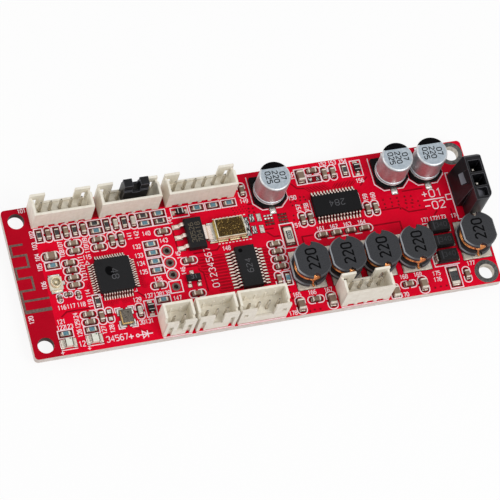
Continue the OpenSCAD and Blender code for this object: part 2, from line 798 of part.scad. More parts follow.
// Outline of a flange: a disc with two flats and a notch at the front and the back
module flange_outline() {
    difference() {
        intersection() {
            circle(drum_d / 2);
            square([drum_w, drum_d], center = true);
        }
        for (s = [-1, 1]) polygon([
            [-drum_notch_w / 2, s * (drum_d / 2 + cut)], [drum_notch_w / 2, s * (drum_d / 2 + cut)],
            [drum_notch_w / 2, s * (drum_d / 2 - drum_notch_d / 2)], [0, s * (drum_d / 2 - drum_notch_d)],
            [-drum_notch_w / 2, s * (drum_d / 2 - drum_notch_d / 2)]
        ]);
    }
}

// Edge of a flange's section at a given reach from its axis, with a chamfer above and below
function flange_edge(reach) = [
    [reach - flange_chamfer, 0], [reach, flange_chamfer],
    [reach, flange_t - flange_chamfer], [reach - flange_chamfer, flange_t]
];

// A flange with chamfers round its rim and along its two flats
module flange() {
    flat = flange_edge(drum_w / 2);
    intersection() {
        linear_extrude(flange_t) flange_outline();
        rotate_extrude() polygon(concat([[0, 0]], flange_edge(drum_d / 2), [[0, flange_t]]));
        along_y(drum_d) polygon(concat(flat, [for (i = [3 : -1 : 0]) [-flat[i][0], flat[i][1]]]));
    }
}

// Ferrite drum: two flanges on a post
module drum(i) {
    color(ferrite) at([DRUMS[i]]) {
        translate([0, 0, drum_lead_t]) flange();
        translate([0, 0, drum_h - flange_t]) flange();
        translate([0, 0, drum_lead_t + flange_t / 2])
            cylinder(d = post_d, h = drum_h - drum_lead_t - flange_t);
    }
}

// Space for the winding between the flanges
coil_low = drum_lead_t + flange_t + wire_gap;
coil_room = drum_h - flange_t - wire_gap - coil_low;
coil_turns = floor(coil_room / wire_d);
coil_inner = post_d / 2 + wire_gap;
// Radius of the middle of the outer layer's wire, and of the two tails that lie on it
coil_mid = coil_inner + wire_d * 1.5;
tail_r = coil_mid + wire_d * 0.9;

// Copper winding of two layers, with a wire down each notch to its terminal
module coil(i) {
    color(copper) at([DRUMS[i]]) {
        rotate_extrude() {
            for (t = [0 : coil_turns - 1])
                translate([coil_mid, coil_low + (t + 0.5) * wire_d]) circle(d = wire_d);
            translate([coil_inner, coil_low]) square([wire_d * 1.5, coil_turns * wire_d]);
        }
        for (s = [-1, 1])
            translate([0, s * tail_r, drum_lead_t])
                cylinder(d = wire_d, h = coil_low - drum_lead_t + coil_turns * wire_d / 2);
    }
}

// Two flat terminals under each inductor
module drum_leads() {
    middle = drum_d / 2 + drum_lead_out - drum_lead_l / 2;
    color(tin) at(DRUMS) for (s = [-1, 1])
        translate([0, s * middle, 0]) block(drum_lead_w, drum_lead_l, drum_lead_t);
}

// A dimple in the top of a moulded body
module dimple(x, y, top) {
    translate([x, y, top - dimple_depth]) cylinder(d = dimple_d, h = dimple_depth + cut);
}

// Square body with cut corners that leave room for the end leads
module controller() {
    half = mcu_side / 2;
    flat = max(half - mcu_corner, (mcu_leads - 1) * mcu_pitch / 2 + mcu_lead_w / 2);
    corner = half - mould_draft - dimple_d;
    color(black) at([mcu_at]) difference() {
        intersection() {
            moulded_body(mcu_side, mcu_side, mcu_h, lead_t);
            linear_extrude(mcu_h) polygon([
                [half, -flat], [half, flat], [flat, half], [-flat, half],
                [-half, flat], [-half, -flat], [-flat, -half], [flat, -half]
            ]);
        }
        dimple(-corner, corner, mcu_h);
    }
}

module controller_leads() {
    exit_z = lead_exit(mcu_h, lead_t);
    color(tin) at([mcu_at]) for (turn = [0, 90, 180, 270]) rotate(turn)
        gull_row(mcu_leads, mcu_pitch, mcu_side / 2, mcu_span / 2, exit_z, lead_t, mcu_lead_w);
}

module audio_chip() {
    color(black) at([codec_at]) difference() {
        moulded_body(codec_w, codec_l, codec_h, lead_t);
        dimple(-codec_w / 2 + mould_draft + dimple_d, codec_l / 2 - mould_draft - dimple_d, codec_h);
    }
}

module audio_chip_leads() {
    exit_z = lead_exit(codec_h, lead_t);
    color(tin) at([codec_at]) for (turn = [0, 180]) rotate(turn)
        gull_row(codec_leads, codec_pitch, codec_w / 2, codec_span / 2, exit_z, lead_t, codec_lead_w);
}

module amplifier() {
    color(black) at([amp_at]) difference() {
        moulded_body(amp_l, amp_w, amp_h, lead_t);
        dimple(amp_l / 2 - mould_draft - dimple_d, amp_w / 2 - mould_draft - dimple_d, amp_h);
    }
}

module amplifier_leads() {
    exit_z = lead_exit(amp_h, lead_t);
    color(tin) at([amp_at]) for (turn = [90, 270]) rotate(turn)
        gull_row(amp_leads, amp_pitch, amp_w / 2, amp_span / 2, exit_z, lead_t, amp_lead_w);
}

module regulator() {
    color(black) at([reg_at]) moulded_body(reg_w, reg_l, reg_h, reg_lead_t);
}

module regulator_leads() {
    exit_z = lead_exit(reg_h, reg_lead_t);
    color(tin) at([reg_at]) {
        rotate(180) gull_row(3, reg_pitch, reg_w / 2, reg_span / 2, exit_z, reg_lead_t, reg_lead_w);
        gull_row(1, 0, reg_w / 2, reg_span / 2, exit_z, reg_lead_t, reg_tab_w);
    }
}

module transistor() {
    color(black) at([trans_at]) moulded_body(trans_l, trans_w, trans_h, lead_t);
}

module transistor_leads() {
    exit_z = lead_exit(trans_h, lead_t);
    color(tin) at([trans_at]) {
        rotate(90) gull_row(1, 0, trans_w / 2, trans_span / 2, exit_z, lead_t, trans_lead_w);
        rotate(270) gull_row(2, trans_pitch, trans_w / 2, trans_span / 2, exit_z, lead_t, trans_lead_w);
    }
}

// Places of the power diodes
DIODES = row(diode_at[0], diode_at[1], 0, -diode_pitch, diode_count, 0);

// Moulded body of a power diode, on the feet of its terminals
module power_diodes() {
    color(black) at(DIODES) difference() {
        moulded_body(diode_l, diode_w, diode_h, diode_lead_t);
        for (s = [-1, 1])
            translate([s * diode_l / 2, 0, -cut]) block(2 * diode_foot, diode_lead_w, diode_lead_t + cut);
    }
}

// Terminals that leave a power diode's ends and fold under it
module power_diode_leads() {
    exit_z = lead_exit(diode_h, diode_lead_t);
    half = diode_l / 2;
    color(tin) at(DIODES) for (turn = [0, 180]) rotate(turn) along_y(diode_lead_w) difference() {
        translate([half - diode_foot, 0]) square([diode_foot + diode_lead_t, exit_z + diode_lead_t]);
        translate([half - diode_foot - cut, diode_lead_t]) square([diode_foot + cut, exit_z + diode_lead_t]);
    }
}

module signal_diodes() {
    color(black) at(SIGNAL_DIODES) moulded_body(signal_l, signal_w, signal_h, lead_t);
}

module signal_diode_leads() {
    exit_z = lead_exit(signal_h, lead_t);
    color(tin) at(SIGNAL_DIODES) for (turn = [0, 180]) rotate(turn)
        gull_row(1, 0, signal_l / 2, signal_span / 2, exit_z, lead_t, signal_lead_w);
}

// Resettable fuse: a slab with a shallow tray in its top
module fuse() {
    color("#5a4a1e") at([fuse_at]) difference() {
        translate([0, 0, fuse_strap_t]) block(fuse_l, fuse_w, fuse_h - fuse_strap_t);
        translate([0, 0, fuse_h - fuse_tray])
            block(fuse_l - 2 * fuse_rim, fuse_w - 2 * fuse_rim, fuse_tray + cut);
    }
}

// Straps up the fuse's two ends, with feet under the slab and out past it
module fuse_straps() {
    half = fuse_l / 2;
    color(tin) at([fuse_at]) for (turn = [0, 180]) rotate(turn) along_y(fuse_w - fuse_rim) {
        translate([half - fuse_foot, 0]) square([fuse_span / 2 - half + fuse_foot, fuse_strap_t]);
        translate([half, 0]) square([fuse_strap_t, fuse_h - fuse_rim]);
    }
}

module lamp_bases() {
    color(cream) at(LAMPS) block(lamp_l - 2 * lamp_end, lamp_w, lamp_base_t);
}

// Clear lens with leaning ends
module lamp_lenses() {
    half = lamp_lens_l / 2;
    color("#f4efdc") at(LAMPS) translate([0, 0, lamp_base_t]) along_y(lamp_w) polygon([
        [-half, 0], [half, 0],
        [half - lamp_lean, lamp_h - lamp_base_t], [-half + lamp_lean, lamp_h - lamp_base_t]
    ]);
}

module crystal_base() {
    color("#4d4a44") at([crystal_at]) block(crystal_w, crystal_l, crystal_base_t);
}

// Metal lid with a raised, rounded field inside its welded rim
module crystal_lid() {
    rim_t = (crystal_h - crystal_base_t) / 2;
    width = crystal_w - 2 * crystal_margin;
    length = crystal_l - 2 * crystal_margin;
    color(gold) at([crystal_at]) translate([0, 0, crystal_base_t]) {
        block(width, length, rim_t);
        block(width - 2 * crystal_margin, length - 2 * crystal_margin, crystal_h - crystal_base_t);
    }
}

module coax_base() {
    color(cream) at([coax_at]) difference() {
        block(coax_side, coax_side, coax_base_t);
        translate([0, 0, coax_tab_t]) cylinder(d = coax_ring_d, h = coax_base_t);
    }
}

// Ring, centre pin and solder tabs of the antenna socket
module coax_contacts() {
    tab_y = (coax_side + coax_tab_out) / 2;
    color(gold) at([coax_at]) {
        translate([0, 0, coax_tab_t]) difference() {
            cylinder(d = coax_ring_d, h = coax_h - coax_tab_t);
            translate([0, 0, -cut]) cylinder(d = coax_ring_d - 2 * coax_wall, h = coax_h + cut);
        }
        translate([0, 0, coax_tab_t]) cylinder(d = coax_pin_d, h = coax_pin_top - coax_tab_t);
        for (s = [-1, 1]) translate([0, s * tab_y, 0]) block(coax_tab_w, coax_tab_out, coax_tab_t);
    }
}

// Outline of the power connector on the board, with two round corners away from the latch
module power_outline() {
    translate(power_at) difference() {
        translate([-power_w - ramp_out, -power_l / 2]) square([power_w + ramp_out, power_l]);
        corner_cut(-1, power_front_r);
        corner_cut(1, power_rear_r);
    }
}

// What a round corner of the power connector takes off
module corner_cut(side, r) {
    translate([-r, side * (power_l / 2 - r)]) difference() {
        translate([0, side > 0 ? 0 : -r - cut]) square([r + cut, r + cut]);
        circle(r);
    }
}

// Latched power connector: leaning latch face with a ramp, two cavities, a chamfered rear wall and a
// blind pocket with a sloping floor in the upright block at its front
module power_housing() {
    face_x = power_at[0] - power_w;
    lean_at = power_lean / power_h;
    ramp_y = (power_cell_y(0) + power_cell_y(1)) / 2;
    color(black) difference() {
        intersection() {
            translate([0, 0, top_z]) linear_extrude(power_h) power_outline();
            union() {
                translate([0, power_at[1], top_z]) along_y(power_l) polygon([
                    [face_x + power_lean, 0], [power_at[0], 0],
                    [power_at[0], power_h], [face_x + power_lean, power_h]
                ]);
                translate([0, power_rear_y - latch_l / 2, top_z]) along_y(latch_l) polygon([
                    [face_x, 0], [power_at[0], 0], [power_at[0], power_h], [face_x + power_lean, power_h]
                ]);
                translate([0, ramp_y, top_z]) along_y(ramp_w) polygon([
                    [face_x + power_lean, ramp_z], [face_x + lean_at * ramp_z - ramp_out, ramp_z],
                    [face_x + lean_at * (ramp_z + ramp_h), ramp_z + ramp_h],
                    [face_x + power_lean, ramp_z + ramp_h]
                ]);
            }
        }
        at_power_pins() {
            translate([0, 0, power_floor]) block(power_cell, power_cell, power_h);
            translate([0, 0, -cut]) block(power_pin + 2 * pin_gap, power_pin + 2 * pin_gap, power_h);
        }
        translate([power_cell_x, power_front_y + pocket_wall + pocket_l / 2, top_z + power_h])
            along_y(pocket_l) polygon([
                [-pocket_w / 2, cut], [-pocket_w / 2, -pocket_low],
                [pocket_w / 2, -pocket_h], [pocket_w / 2, cut]
            ]);
        translate([power_at[0], power_rear_y, top_z + power_h]) along_x(4 * power_w) polygon([
            [-power_rear_cut - cut, cut], [cut, -power_rear_cut - cut], [cut, cut]
        ]);
    }
}

// Contacts and board lock of the power connector
module power_pins() {
    color(tin) {
        at_power_pins() square_pin(power_pin, -pin_tail, power_pin_top, pin_taper);
        at_lock() {
            block(lock_w, lock_t, lock_h);
            translate([0, 0, -pin_tail]) block(lock_tail_w, lock_t, pin_tail + lock_h / 2);
        }
    }
}

// Height of a chip capacitor of a given width
function cap_h(width) = width * cap_rise;

// Middle of a chip, between its metal ends
module chip_body(l, w, h) {
    block(l * (1 - 2 * end_share), w, h);
}

// The two metal ends of a chip
module chip_end_pair(l, w, h) {
    for (s = [-1, 1]) translate([s * l * (1 - end_share) / 2, 0, 0]) block(l * end_share, w, h);
}

// Coat on top of a chip resistor
module chip_coat(l, w) {
    translate([0, 0, resistor_h - coat_t]) block(l * (1 - 2 * end_share), w, coat_t);
}

module resistors() {
    color("#e4e2dc") {
        at(concat(BLUE_RESISTORS, BLACK_RESISTORS)) chip_body(small_l, small_w, resistor_h - coat_t);
        at(POWER_CHIPS) chip_body(power_chip_l, power_chip_w, resistor_h - coat_t);
        at(SENSE_CHIPS) chip_body(power_chip_l, power_chip_w, resistor_h);
    }
}

module blue_coats() {
    color("#3f7ea3") at(BLUE_RESISTORS) chip_coat(small_l, small_w);
}

module black_coats() {
    color(black) {
        at(BLACK_RESISTORS) chip_coat(small_l, small_w);
        at(POWER_CHIPS) chip_coat(power_chip_l, power_chip_w);
        at(SENSE_CHIPS) translate([0, 0, resistor_h])
            block(sense_block_l, sense_block_w, sense_block_t);
    }
}

module capacitors() {
    color("#a08a70") {
        at(SMALL_CAPS) chip_body(small_l, small_w, cap_h(small_w));
        at(TINY_CAPS) chip_body(tiny_l, tiny_w, cap_h(tiny_w));
        at(LARGE_CAPS) chip_body(large_l, large_w, cap_h(large_w));
    }
}

// Metal ends of every chip and lamp
module chip_ends() {
    color(tin) {
        at(concat(BLUE_RESISTORS, BLACK_RESISTORS)) chip_end_pair(small_l, small_w, resistor_h);
        at(concat(POWER_CHIPS, SENSE_CHIPS)) chip_end_pair(power_chip_l, power_chip_w, resistor_h);
        at(SMALL_CAPS) chip_end_pair(small_l, small_w, cap_h(small_w));
        at(TINY_CAPS) chip_end_pair(tiny_l, tiny_w, cap_h(tiny_w));
        at(LARGE_CAPS) chip_end_pair(large_l, large_w, cap_h(large_w));
        at(LAMPS) for (s = [-1, 1])
            translate([s * (lamp_l - lamp_end) / 2, 0, 0]) block(lamp_end, lamp_w, lamp_base_t);
    }
}

// A cone of solder under the board, round the tail of a pin
module solder_joint(x, y) {
    tip_r = norm([x, y]) / 2 + joint_lip;
    translate([0, 0, -board_t]) difference() {
        translate([0, 0, -joint_h])
            cylinder(r1 = tip_r, r2 = max(joint_r, tip_r + joint_lip), h = joint_h);
        translate([0, 0, -joint_h - cut]) block(x, y, joint_h + 2 * cut);
    }
}

module solder_joints() {
    color(tin) {
        at_header_pins() solder_joint(pin_side, pin_side);
        at_power_pins() solder_joint(power_pin, power_pin);
        at_lock() solder_joint(lock_tail_w, lock_t);
    }
}

pcb();
for (i = [0 : len(HEADERS) - 1]) header(i);
header_pins();
jumper_cap();
jumper_clip();
for (i = [0 : len(CANS) - 1]) can(i);
for (i = [0 : len(CANS) - 1]) can_base(i);
can_leads();
for (i = [0 : len(DRUMS) - 1]) drum(i);
for (i = [0 : len(DRUMS) - 1]) coil(i);
drum_leads();
controller();
controller_leads();
audio_chip();
audio_chip_leads();
amplifier();
amplifier_leads();
regulator();
regulator_leads();
transistor();
transistor_leads();
power_diodes();
power_diode_leads();
signal_diodes();
signal_diode_leads();
fuse();
fuse_straps();
lamp_bases();
lamp_lenses();
crystal_base();
crystal_lid();
coax_base();
coax_contacts();
power_housing();
power_pins();
resistors();
blue_coats();
black_coats();
capacitors();
chip_ends();
solder_joints();
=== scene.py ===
import math
import random

import bmesh
import bpy
from mathutils import Matrix, Vector


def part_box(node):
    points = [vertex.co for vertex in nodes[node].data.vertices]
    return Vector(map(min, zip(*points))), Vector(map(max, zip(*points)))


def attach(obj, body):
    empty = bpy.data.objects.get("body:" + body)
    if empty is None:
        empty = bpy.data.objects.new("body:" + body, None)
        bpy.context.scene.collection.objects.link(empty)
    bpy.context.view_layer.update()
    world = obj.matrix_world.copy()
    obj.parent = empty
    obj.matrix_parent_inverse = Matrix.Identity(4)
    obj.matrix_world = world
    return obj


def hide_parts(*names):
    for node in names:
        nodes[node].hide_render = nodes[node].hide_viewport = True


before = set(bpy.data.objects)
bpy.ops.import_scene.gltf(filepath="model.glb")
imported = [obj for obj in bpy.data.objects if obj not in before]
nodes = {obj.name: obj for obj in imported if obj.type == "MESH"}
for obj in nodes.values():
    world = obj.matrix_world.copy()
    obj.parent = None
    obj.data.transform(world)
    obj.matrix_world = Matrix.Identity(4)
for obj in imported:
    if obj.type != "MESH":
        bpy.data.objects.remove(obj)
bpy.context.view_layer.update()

# Lengths below are in millimetres; pieces are made in metres
MM = 0.001
SEED = 7


def box_mm(name):
    """Corners of a CAD node in millimetres."""
    return [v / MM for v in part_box(name)]


def middle(low, high):
    """Middle of a box, seen from above."""
    return (low[0] + high[0]) / 2, (low[1] + high[1]) / 2


# Underside of the board, half its length and width, and its top
UNDER = box_mm("pcb")[0].z
HALF_L, HALF_W, TOP = box_mm("pcb")[1]
# Thickness of what lies on the board, from the lowest up
FIELD_T = 0.003
STRIP_T = 0.006
RIM_T = 0.009
GAP_T = 0.012
EDGE_T = 0.015
TRACE_T = 0.02
PAD_T = 0.035
INK_T = 0.045
# Step between the tops of solids that overlap in one piece, and thickness of the print on parts
LAYER = 0.0006
MARK_T = 0.012
# Edge of the copper beside the antenna
ANTENNA_EDGE = -41.8
# Middle of the fuse, and the width of its pale rim
FUSE_X, FUSE_Y = middle(*box_mm("fuse"))
FUSE_RIM = 0.16
# Half the length of the clear part of a lamp, and the dark line beside it
LENS_HALF = 0.6
LENS_LINE = 0.2
# Where the front walls of the headers end, at the near edge and at the far edge; past them the nylon gets
# painted light
NEAR_FRONT = HALF_W - 0.9
FAR_FRONT = HALF_W - 5.5
# Middles of the chips whose ceramic is pale, and how far the pale colour reaches
PALE_CAPS = [(-25.75, 9.3), (-22.25, 9.3), (-25.3, -9.3)]
PALE_REACH = 1.2


class Shape:
    """Collects closed solids in millimetres and turns them into one piece."""

    def __init__(self, layers=1):
        """Flat solids take turns at this many heights, so that tops that overlap don't coincide."""
        self.verts = []
        self.faces = []
        self.layers = layers
        self.count = 0

    def lift(self):
        self.count += 1
        return LAYER * (self.count % self.layers)

    def add(self, verts, faces):
        base = len(self.verts)
        self.verts.extend(verts)
        self.faces.extend([base + i for i in face] for face in faces)

    def prism(self, outline, low, high):
        """An upright solid over an outline that runs anticlockwise."""
        n = len(outline)
        high += self.lift()
        verts = [(x, y, low) for x, y in outline] + [(x, y, high) for x, y in outline]
        faces = [list(range(n))[::-1], list(range(n, 2 * n))]
        faces += [[i, (i + 1) % n, n + (i + 1) % n, n + i] for i in range(n)]
        self.add(verts, faces)

    def sheet(self, outline, thick):
        """A thin solid on the board's top."""
        self.prism(outline, TOP, TOP + thick)

    def ribbon(self, points, width, low, high, closed=False):
        """A line of even width with mitred bends."""
        pts = [Vector(p) for p in points]
        n = len(pts)
        high += self.lift()
        left, right = [], []
        for i, p in enumerate(pts):
            before = pts[i - 1] if closed or i > 0 else None
            after = pts[(i + 1) % n] if closed or i < n - 1 else None
            into = (p - before).normalized() if before is not None else (after - p).normalized()
            out = (after - p).normalized() if after is not None else into
            mid = into + out
            mid = mid.normalized() if mid.length > 0.05 else out
            side = Vector((-mid.y, mid.x))
            stretch = max(0.5, mid.dot(out))
            left.append(p + side * width / 2 / stretch)
            right.append(p - side * width / 2 / stretch)
        verts = [(v.x, v.y, z) for z in (low, high) for v in left + right]
        faces = []
        for i in range(n if closed else n - 1):
            j = (i + 1) % n
            faces.append([i, j, n + j, n + i])
            faces.append([2 * n + i, 3 * n + i, 3 * n + j, 2 * n + j])
            faces.append([j, i, 2 * n + i, 2 * n + j])
            faces.append([n + i, n + j, 3 * n + j, 3 * n + i])
        if not closed:
            e = n - 1
            faces.append([0, n, 3 * n, 2 * n])
            faces.append([n + e, e, 2 * n + e, 3 * n + e])
        self.add(verts, faces)

    def trace(self, points, width, thick, closed=False):
        """A line on the board's top."""
        self.ribbon(points, width, TOP, TOP + thick, closed)

    def lathe(self, x, y, profile, steps=32, start=0, stop=360):
        """A closed profile of (radius, height) points, turned from one angle in degrees to another."""
        n = len(profile)
        whole = stop - start == 360
        rows = steps if whole else steps + 1
        verts = []
        for k in range(rows):
            a = math.radians(start + (stop - start) * k / steps)
            verts += [(x + r * math.cos(a), y + r * math.sin(a), z) for r, z in profile]
        faces = [] if whole else [list(range(n)), list(range(steps * n, rows * n))[::-1]]
        for k in range(steps):
            m = (k + 1) % rows
            for i in range(n):
                j = (i + 1) % n
                faces.append([k * n + i, m * n + i, m * n + j, k * n + j])
        self.add(verts, faces)

    def disc(self, x, y, r, low, high, steps):
        self.prism(circle(x, y, r, steps), low, high)

    def wedge(self, x, y, turn, half, profile):
        """A profile of (reach, height) points, drawn out sideways about the direction turn."""
        n = len(profile)
        verts = []
        for s in (-half, half):
            flat = moved([(d, s) for d, z in profile], x, y, turn)
            verts += [(px, py, z) for (px, py), (d, z) in zip(flat, profile)]
        faces = [list(range(n)), list(range(n, 2 * n))[::-1]]
        faces += [[i, n + i, n + (i + 1) % n, (i + 1) % n] for i in range(n)]
        self.add(verts, faces)

    def tube(self, path, radius, sides=8):
        """A round wire along a path, with flat ends."""
        pts = [Vector(p) for p in path]
        n = len(pts)
        verts = []
        up = Vector((0, 0, 1))
        for i, p in enumerate(pts):
            way = (pts[min(i + 1, n - 1)] - pts[max(i - 1, 0)]).normalized()
            side = way.cross(up)
            side = side.normalized() if side.length > 0.1 else Vector((1, 0, 0))
            other = side.cross(way).normalized()
            verts += [tuple(p + side * c + other * s) for c, s in circle(0, 0, radius, sides)]
        faces = [list(range(sides)), [(n - 1) * sides + k for k in range(sides)][::-1]]
        for i in range(n - 1):
            for k in range(sides):
                m = (k + 1) % sides
                faces.append([i * sides + k, (i + 1) * sides + k, (i + 1) * sides + m, i * sides + m])
        self.add(verts, faces)

    def piece(self, name, material, body="board", smooth=30):
        mesh = bpy.data.meshes.new(name)
        mesh.from_pydata([[c * MM for c in v] for v in self.verts], [], self.faces)
        bm = bmesh.new()
        bm.from_mesh(mesh)
        bmesh.ops.recalc_face_normals(bm, faces=bm.faces)
        bm.to_mesh(mesh)
        bm.free()
        return place(name, mesh, material, body, smooth)


def place(name, mesh, material, body, smooth):
    """Makes a mesh a piece that rides on a body."""
    for polygon in mesh.polygons:
        polygon.use_smooth = True
    mesh.set_sharp_from_angle(angle=math.radians(smooth))
    obj = bpy.data.objects.new(name, mesh)
    bpy.context.scene.collection.objects.link(obj)
    obj.data.materials.append(material)
    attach(obj, body)
    return obj


def circle(x, y, r, steps=24):
    angles = [2 * math.pi * k / steps for k in range(steps)]
    return [(x + r * math.cos(a), y + r * math.sin(a)) for a in angles]


def moved(points, x, y, turn=0):
    """Points turned about the origin by an angle in degrees, then moved."""
    c, s = math.cos(math.radians(turn)), math.sin(math.radians(turn))
    return [(x + c * px - s * py, y + s * px + c * py) for px, py in points]


def box_outline(x, y, length, width, turn=0):
    """Corners of a rectangle about a point, anticlockwise."""
    a, b = length / 2, width / 2
    return moved([(-a, -b), (a, -b), (a, b), (-a, b)], x, y, turn)


def islands(name):
    """Boxes in millimetres of the separate solids in a CAD node, as (low, high) corners."""
    mesh = nodes[name].data
    key = [tuple(round(c / MM, 3) for c in v.co) for v in mesh.vertices]
    parent = {k: k for k in key}

    def root(k):
        while parent[k] != k:
            parent[k] = parent[parent[k]]
            k = parent[k]
        return k

    for polygon in mesh.polygons:
        first = root(key[polygon.vertices[0]])
        for i in polygon.vertices[1:]:
            parent[root(key[i])] = first
    groups = {}
    for k in parent:
        groups.setdefault(root(k), []).append(k)
    boxes = []
    for points in groups.values():
        axes = list(zip(*points))
        boxes.append((tuple(map(min, axes)), tuple(map(max, axes))))
    return sorted(boxes)


def solids(name):
    """The separate solids in a CAD node: their middle seen from above, and their corners."""
    return [(*middle(low, high), low, high) for low, high in islands(name)]


# Materials
def rgb(text):
    """A colour written as in a paint program, in the linear values that the shader takes."""
    values = [int(text[i : i + 2], 16) / 255 for i in (0, 2, 4)]
    return [v / 12.92 if v <= 0.04045 else ((v + 0.055) / 1.055) ** 2.4 for v in values] + [1.0]


class Paint:
    """A material whose nodes are added one by one."""

    def __init__(self, name):
        self.material = bpy.data.materials.new(name)
        self.material.use_nodes = True
        self.tree = self.material.node_tree
        self.shader = self.tree.nodes["Principled BSDF"]
        self.coords = self.tree.nodes.new("ShaderNodeTexCoord").outputs["Object"]

    def feed(self, socket, value):
        """Links a node's output to a socket, or sets a plain value or a colour."""
        if isinstance(value, bpy.types.NodeSocket):
            self.tree.links.new(value, socket)
        else:
            socket.default_value = rgb(value) if isinstance(value, str) else value

    def node(self, kind, inputs=(), **settings):
        made = self.tree.nodes.new(kind)
        for key, value in settings.items():
            setattr(made, key, value)
        for key, value in dict(inputs).items():
            self.feed(made.inputs[key], value)
        return made

    def noise(self, size, detail=3.0, stretch=(1, 1, 1)):
        """Noise whose grains are about size millimetres across."""
        inputs = {0: self.coords, 1: stretch}
        at = self.node("ShaderNodeVectorMath", inputs, operation="MULTIPLY").outputs[0]
        inputs = {"Vector": at, "Scale": 1 / (size * MM), "Detail": detail, "Roughness": 0.55}
        return self.node("ShaderNodeTexNoise", inputs).outputs["Fac"]

    def tones(self, fac, low, high, start=0.3, end=0.7):
        """Runs from one colour to another."""
        made = self.node("ShaderNodeValToRGB", {"Fac": fac})
        for element, position, colour in zip(made.color_ramp.elements, (start, end), (low, high)):
            element.position = position
            element.color = rgb(colour)
        return made.outputs["Color"]

    def range(self, fac, low, high, start=0.3, end=0.7):
        inputs = {"Value": fac, "From Min": start, "From Max": end, "To Min": low, "To Max": high}
        return self.node("ShaderNodeMapRange", inputs).outputs["Result"]

    def math(self, operation, a, b=0.0):
        return self.node("ShaderNodeMath", {0: a, 1: b}, operation=operation).outputs[0]

    def above(self, a, b):
        return self.math("GREATER_THAN", a, b)

    def below(self, a, b):
        return self.math("LESS_THAN", a, b)

    def times(self, a, b):
        return self.math("MULTIPLY", a, b)

    def size(self, a):
        return self.math("ABSOLUTE", a)

    def gap(self, a, b):
        """How far two values lie apart."""
        return self.size(self.math("SUBTRACT", a, b))

    def mix(self, fac, a, b):
        return self.node("ShaderNodeMix", {0: fac, 6: a, 7: b}, data_type="RGBA").outputs[2]

    def part(self, source, axis):
        return self.node("ShaderNodeSeparateXYZ", {0: source}).outputs[axis]

    def along(self, axis):
        """Place along an axis, in metres."""
        return self.part(self.coords, axis)

    def facing(self, axis):
        """How far the surface faces along an axis."""
        return self.part(self.node("ShaderNodeNewGeometry").outputs["Normal"], axis)

    def bump(self, height, strength, distance, **under):
        inputs = {"Height": height, "Strength": strength, "Distance": distance * MM, **under}
        return self.node("ShaderNodeBump", inputs).outputs["Normal"]

    def set(self, **sockets):
        for key, value in sockets.items():
            self.feed(self.shader.inputs[key.replace("_", " ")], value)
        return self.material

    def coat(self, colour, fine, rough, relief, depth=0.02, **more):
        """Sets the colour, an uneven gloss and a fine relief."""
        gloss = self.range(fine, *rough)
        return self.set(Base_Color=colour, Roughness=gloss, Normal=self.bump(fine, relief, depth), **more)


def surface(name, low, high, grain, rough, bump=(0.1, 0.1), metal=0.0, level=0.5, **more):
    """A material of two shades in grains, with uneven gloss and a fine relief."""
    paint = Paint(name)
    colour = paint.tones(paint.noise(grain), low, high)
    fine = paint.noise(bump[0], detail=4.0)
    return paint.coat(colour, fine, rough, bump[1], Metallic=metal, Specular_IOR_Level=level, **more)


def mask_material():
    """Red solder mask on top and below, with pale glass fibre at the board's edges."""
    paint = Paint("mask_red")
    flat = paint.above(paint.size(paint.facing("Z")), 0.5)
    x, y = paint.along("X"), paint.along("Y")
    cloud = paint.noise(6.0, detail=2.0)
    fine = paint.noise(0.35)
    bare_red = paint.tones(cloud, "ae001c", "bc0320")
    red = paint.mix(paint.above(x, ANTENNA_EDGE * MM), bare_red, paint.tones(cloud, "dc0026", "e8042b"))
    red = paint.mix(paint.range(fine, 0.0, 0.1), red, "860014")
    layers = paint.noise(0.25, stretch=(0.3, 0.3, 1.6))
    past_x = paint.math("SUBTRACT", paint.size(x), HALF_L * MM)
    past_y = paint.math("SUBTRACT", paint.size(y), HALF_W * MM)
    outer = paint.above(paint.math("MAXIMUM", past_x, past_y), -0.3 * MM)
    edge = paint.mix(outer, paint.tones(layers, "2a1712", "4d3126"), paint.tones(layers, "bfb1a8", "e4ddd8"))
    gloss = paint.math("ADD", fine, paint.times(flat, -0.3))
    weave = paint.noise(0.6, detail=1.0)
    return paint.set(
        Base_Color=paint.mix(flat, edge, red),
        Roughness=paint.range(gloss, 0.28, 0.6, 0.2, 0.8),
        Normal=paint.bump(weave, 0.06, 0.02, Normal=paint.bump(fine, 0.05, 0.01)),
        Specular_IOR_Level=0.06,
    )


def can_material():
    """Drawn aluminium: fine upright lines on the wall, even satin on the top, whose greyer colour is painted
    shade.
    """
    paint = Paint("can_aluminium")
    lines = paint.noise(0.18, stretch=(1, 1, 0.05))
    spots = paint.noise(0.5, detail=4.0)
    wall = paint.tones(spots, "b9bcbf", "cfd1d3", 0.35, 0.65)
    # Painted shade: the top gets a darker, bluer grey than the wall
    lid = paint.tones(spots, "9da8b1", "b1bac2", 0.35, 0.65)
    colour = paint.mix(paint.above(paint.facing("Z"), 0.96), wall, lid)
    return paint.coat(colour, lines, (0.38, 0.46), 0.05, 0.01, Metallic=0.82)


def ferrite_material():
    """Dark ferrite with a painted highlight on its chamfers, mostly on those facing left."""
    paint = Paint("ferrite")
    fine = paint.noise(0.12, detail=4.0)
    z = paint.facing("Z")
    # Painted highlight: chamfers facing up and to the left are mixed toward pale grey
    chamfer = paint.times(paint.above(z, 0.5), paint.below(z, 0.9))
    left = paint.range(paint.facing("X"), 1.0, 0.12, -0.66, -0.3)
    painted_chamfer_highlight = paint.times(paint.times(chamfer, left), paint.range(fine, 0.45, 0.95))
    colour = paint.mix(painted_chamfer_highlight, paint.tones(paint.noise(0.22), "26272a", "36373b"), "b4b7bd")
    return paint.coat(colour, fine, (0.3, 0.5), 0.25, Specular_IOR_Level=0.28)


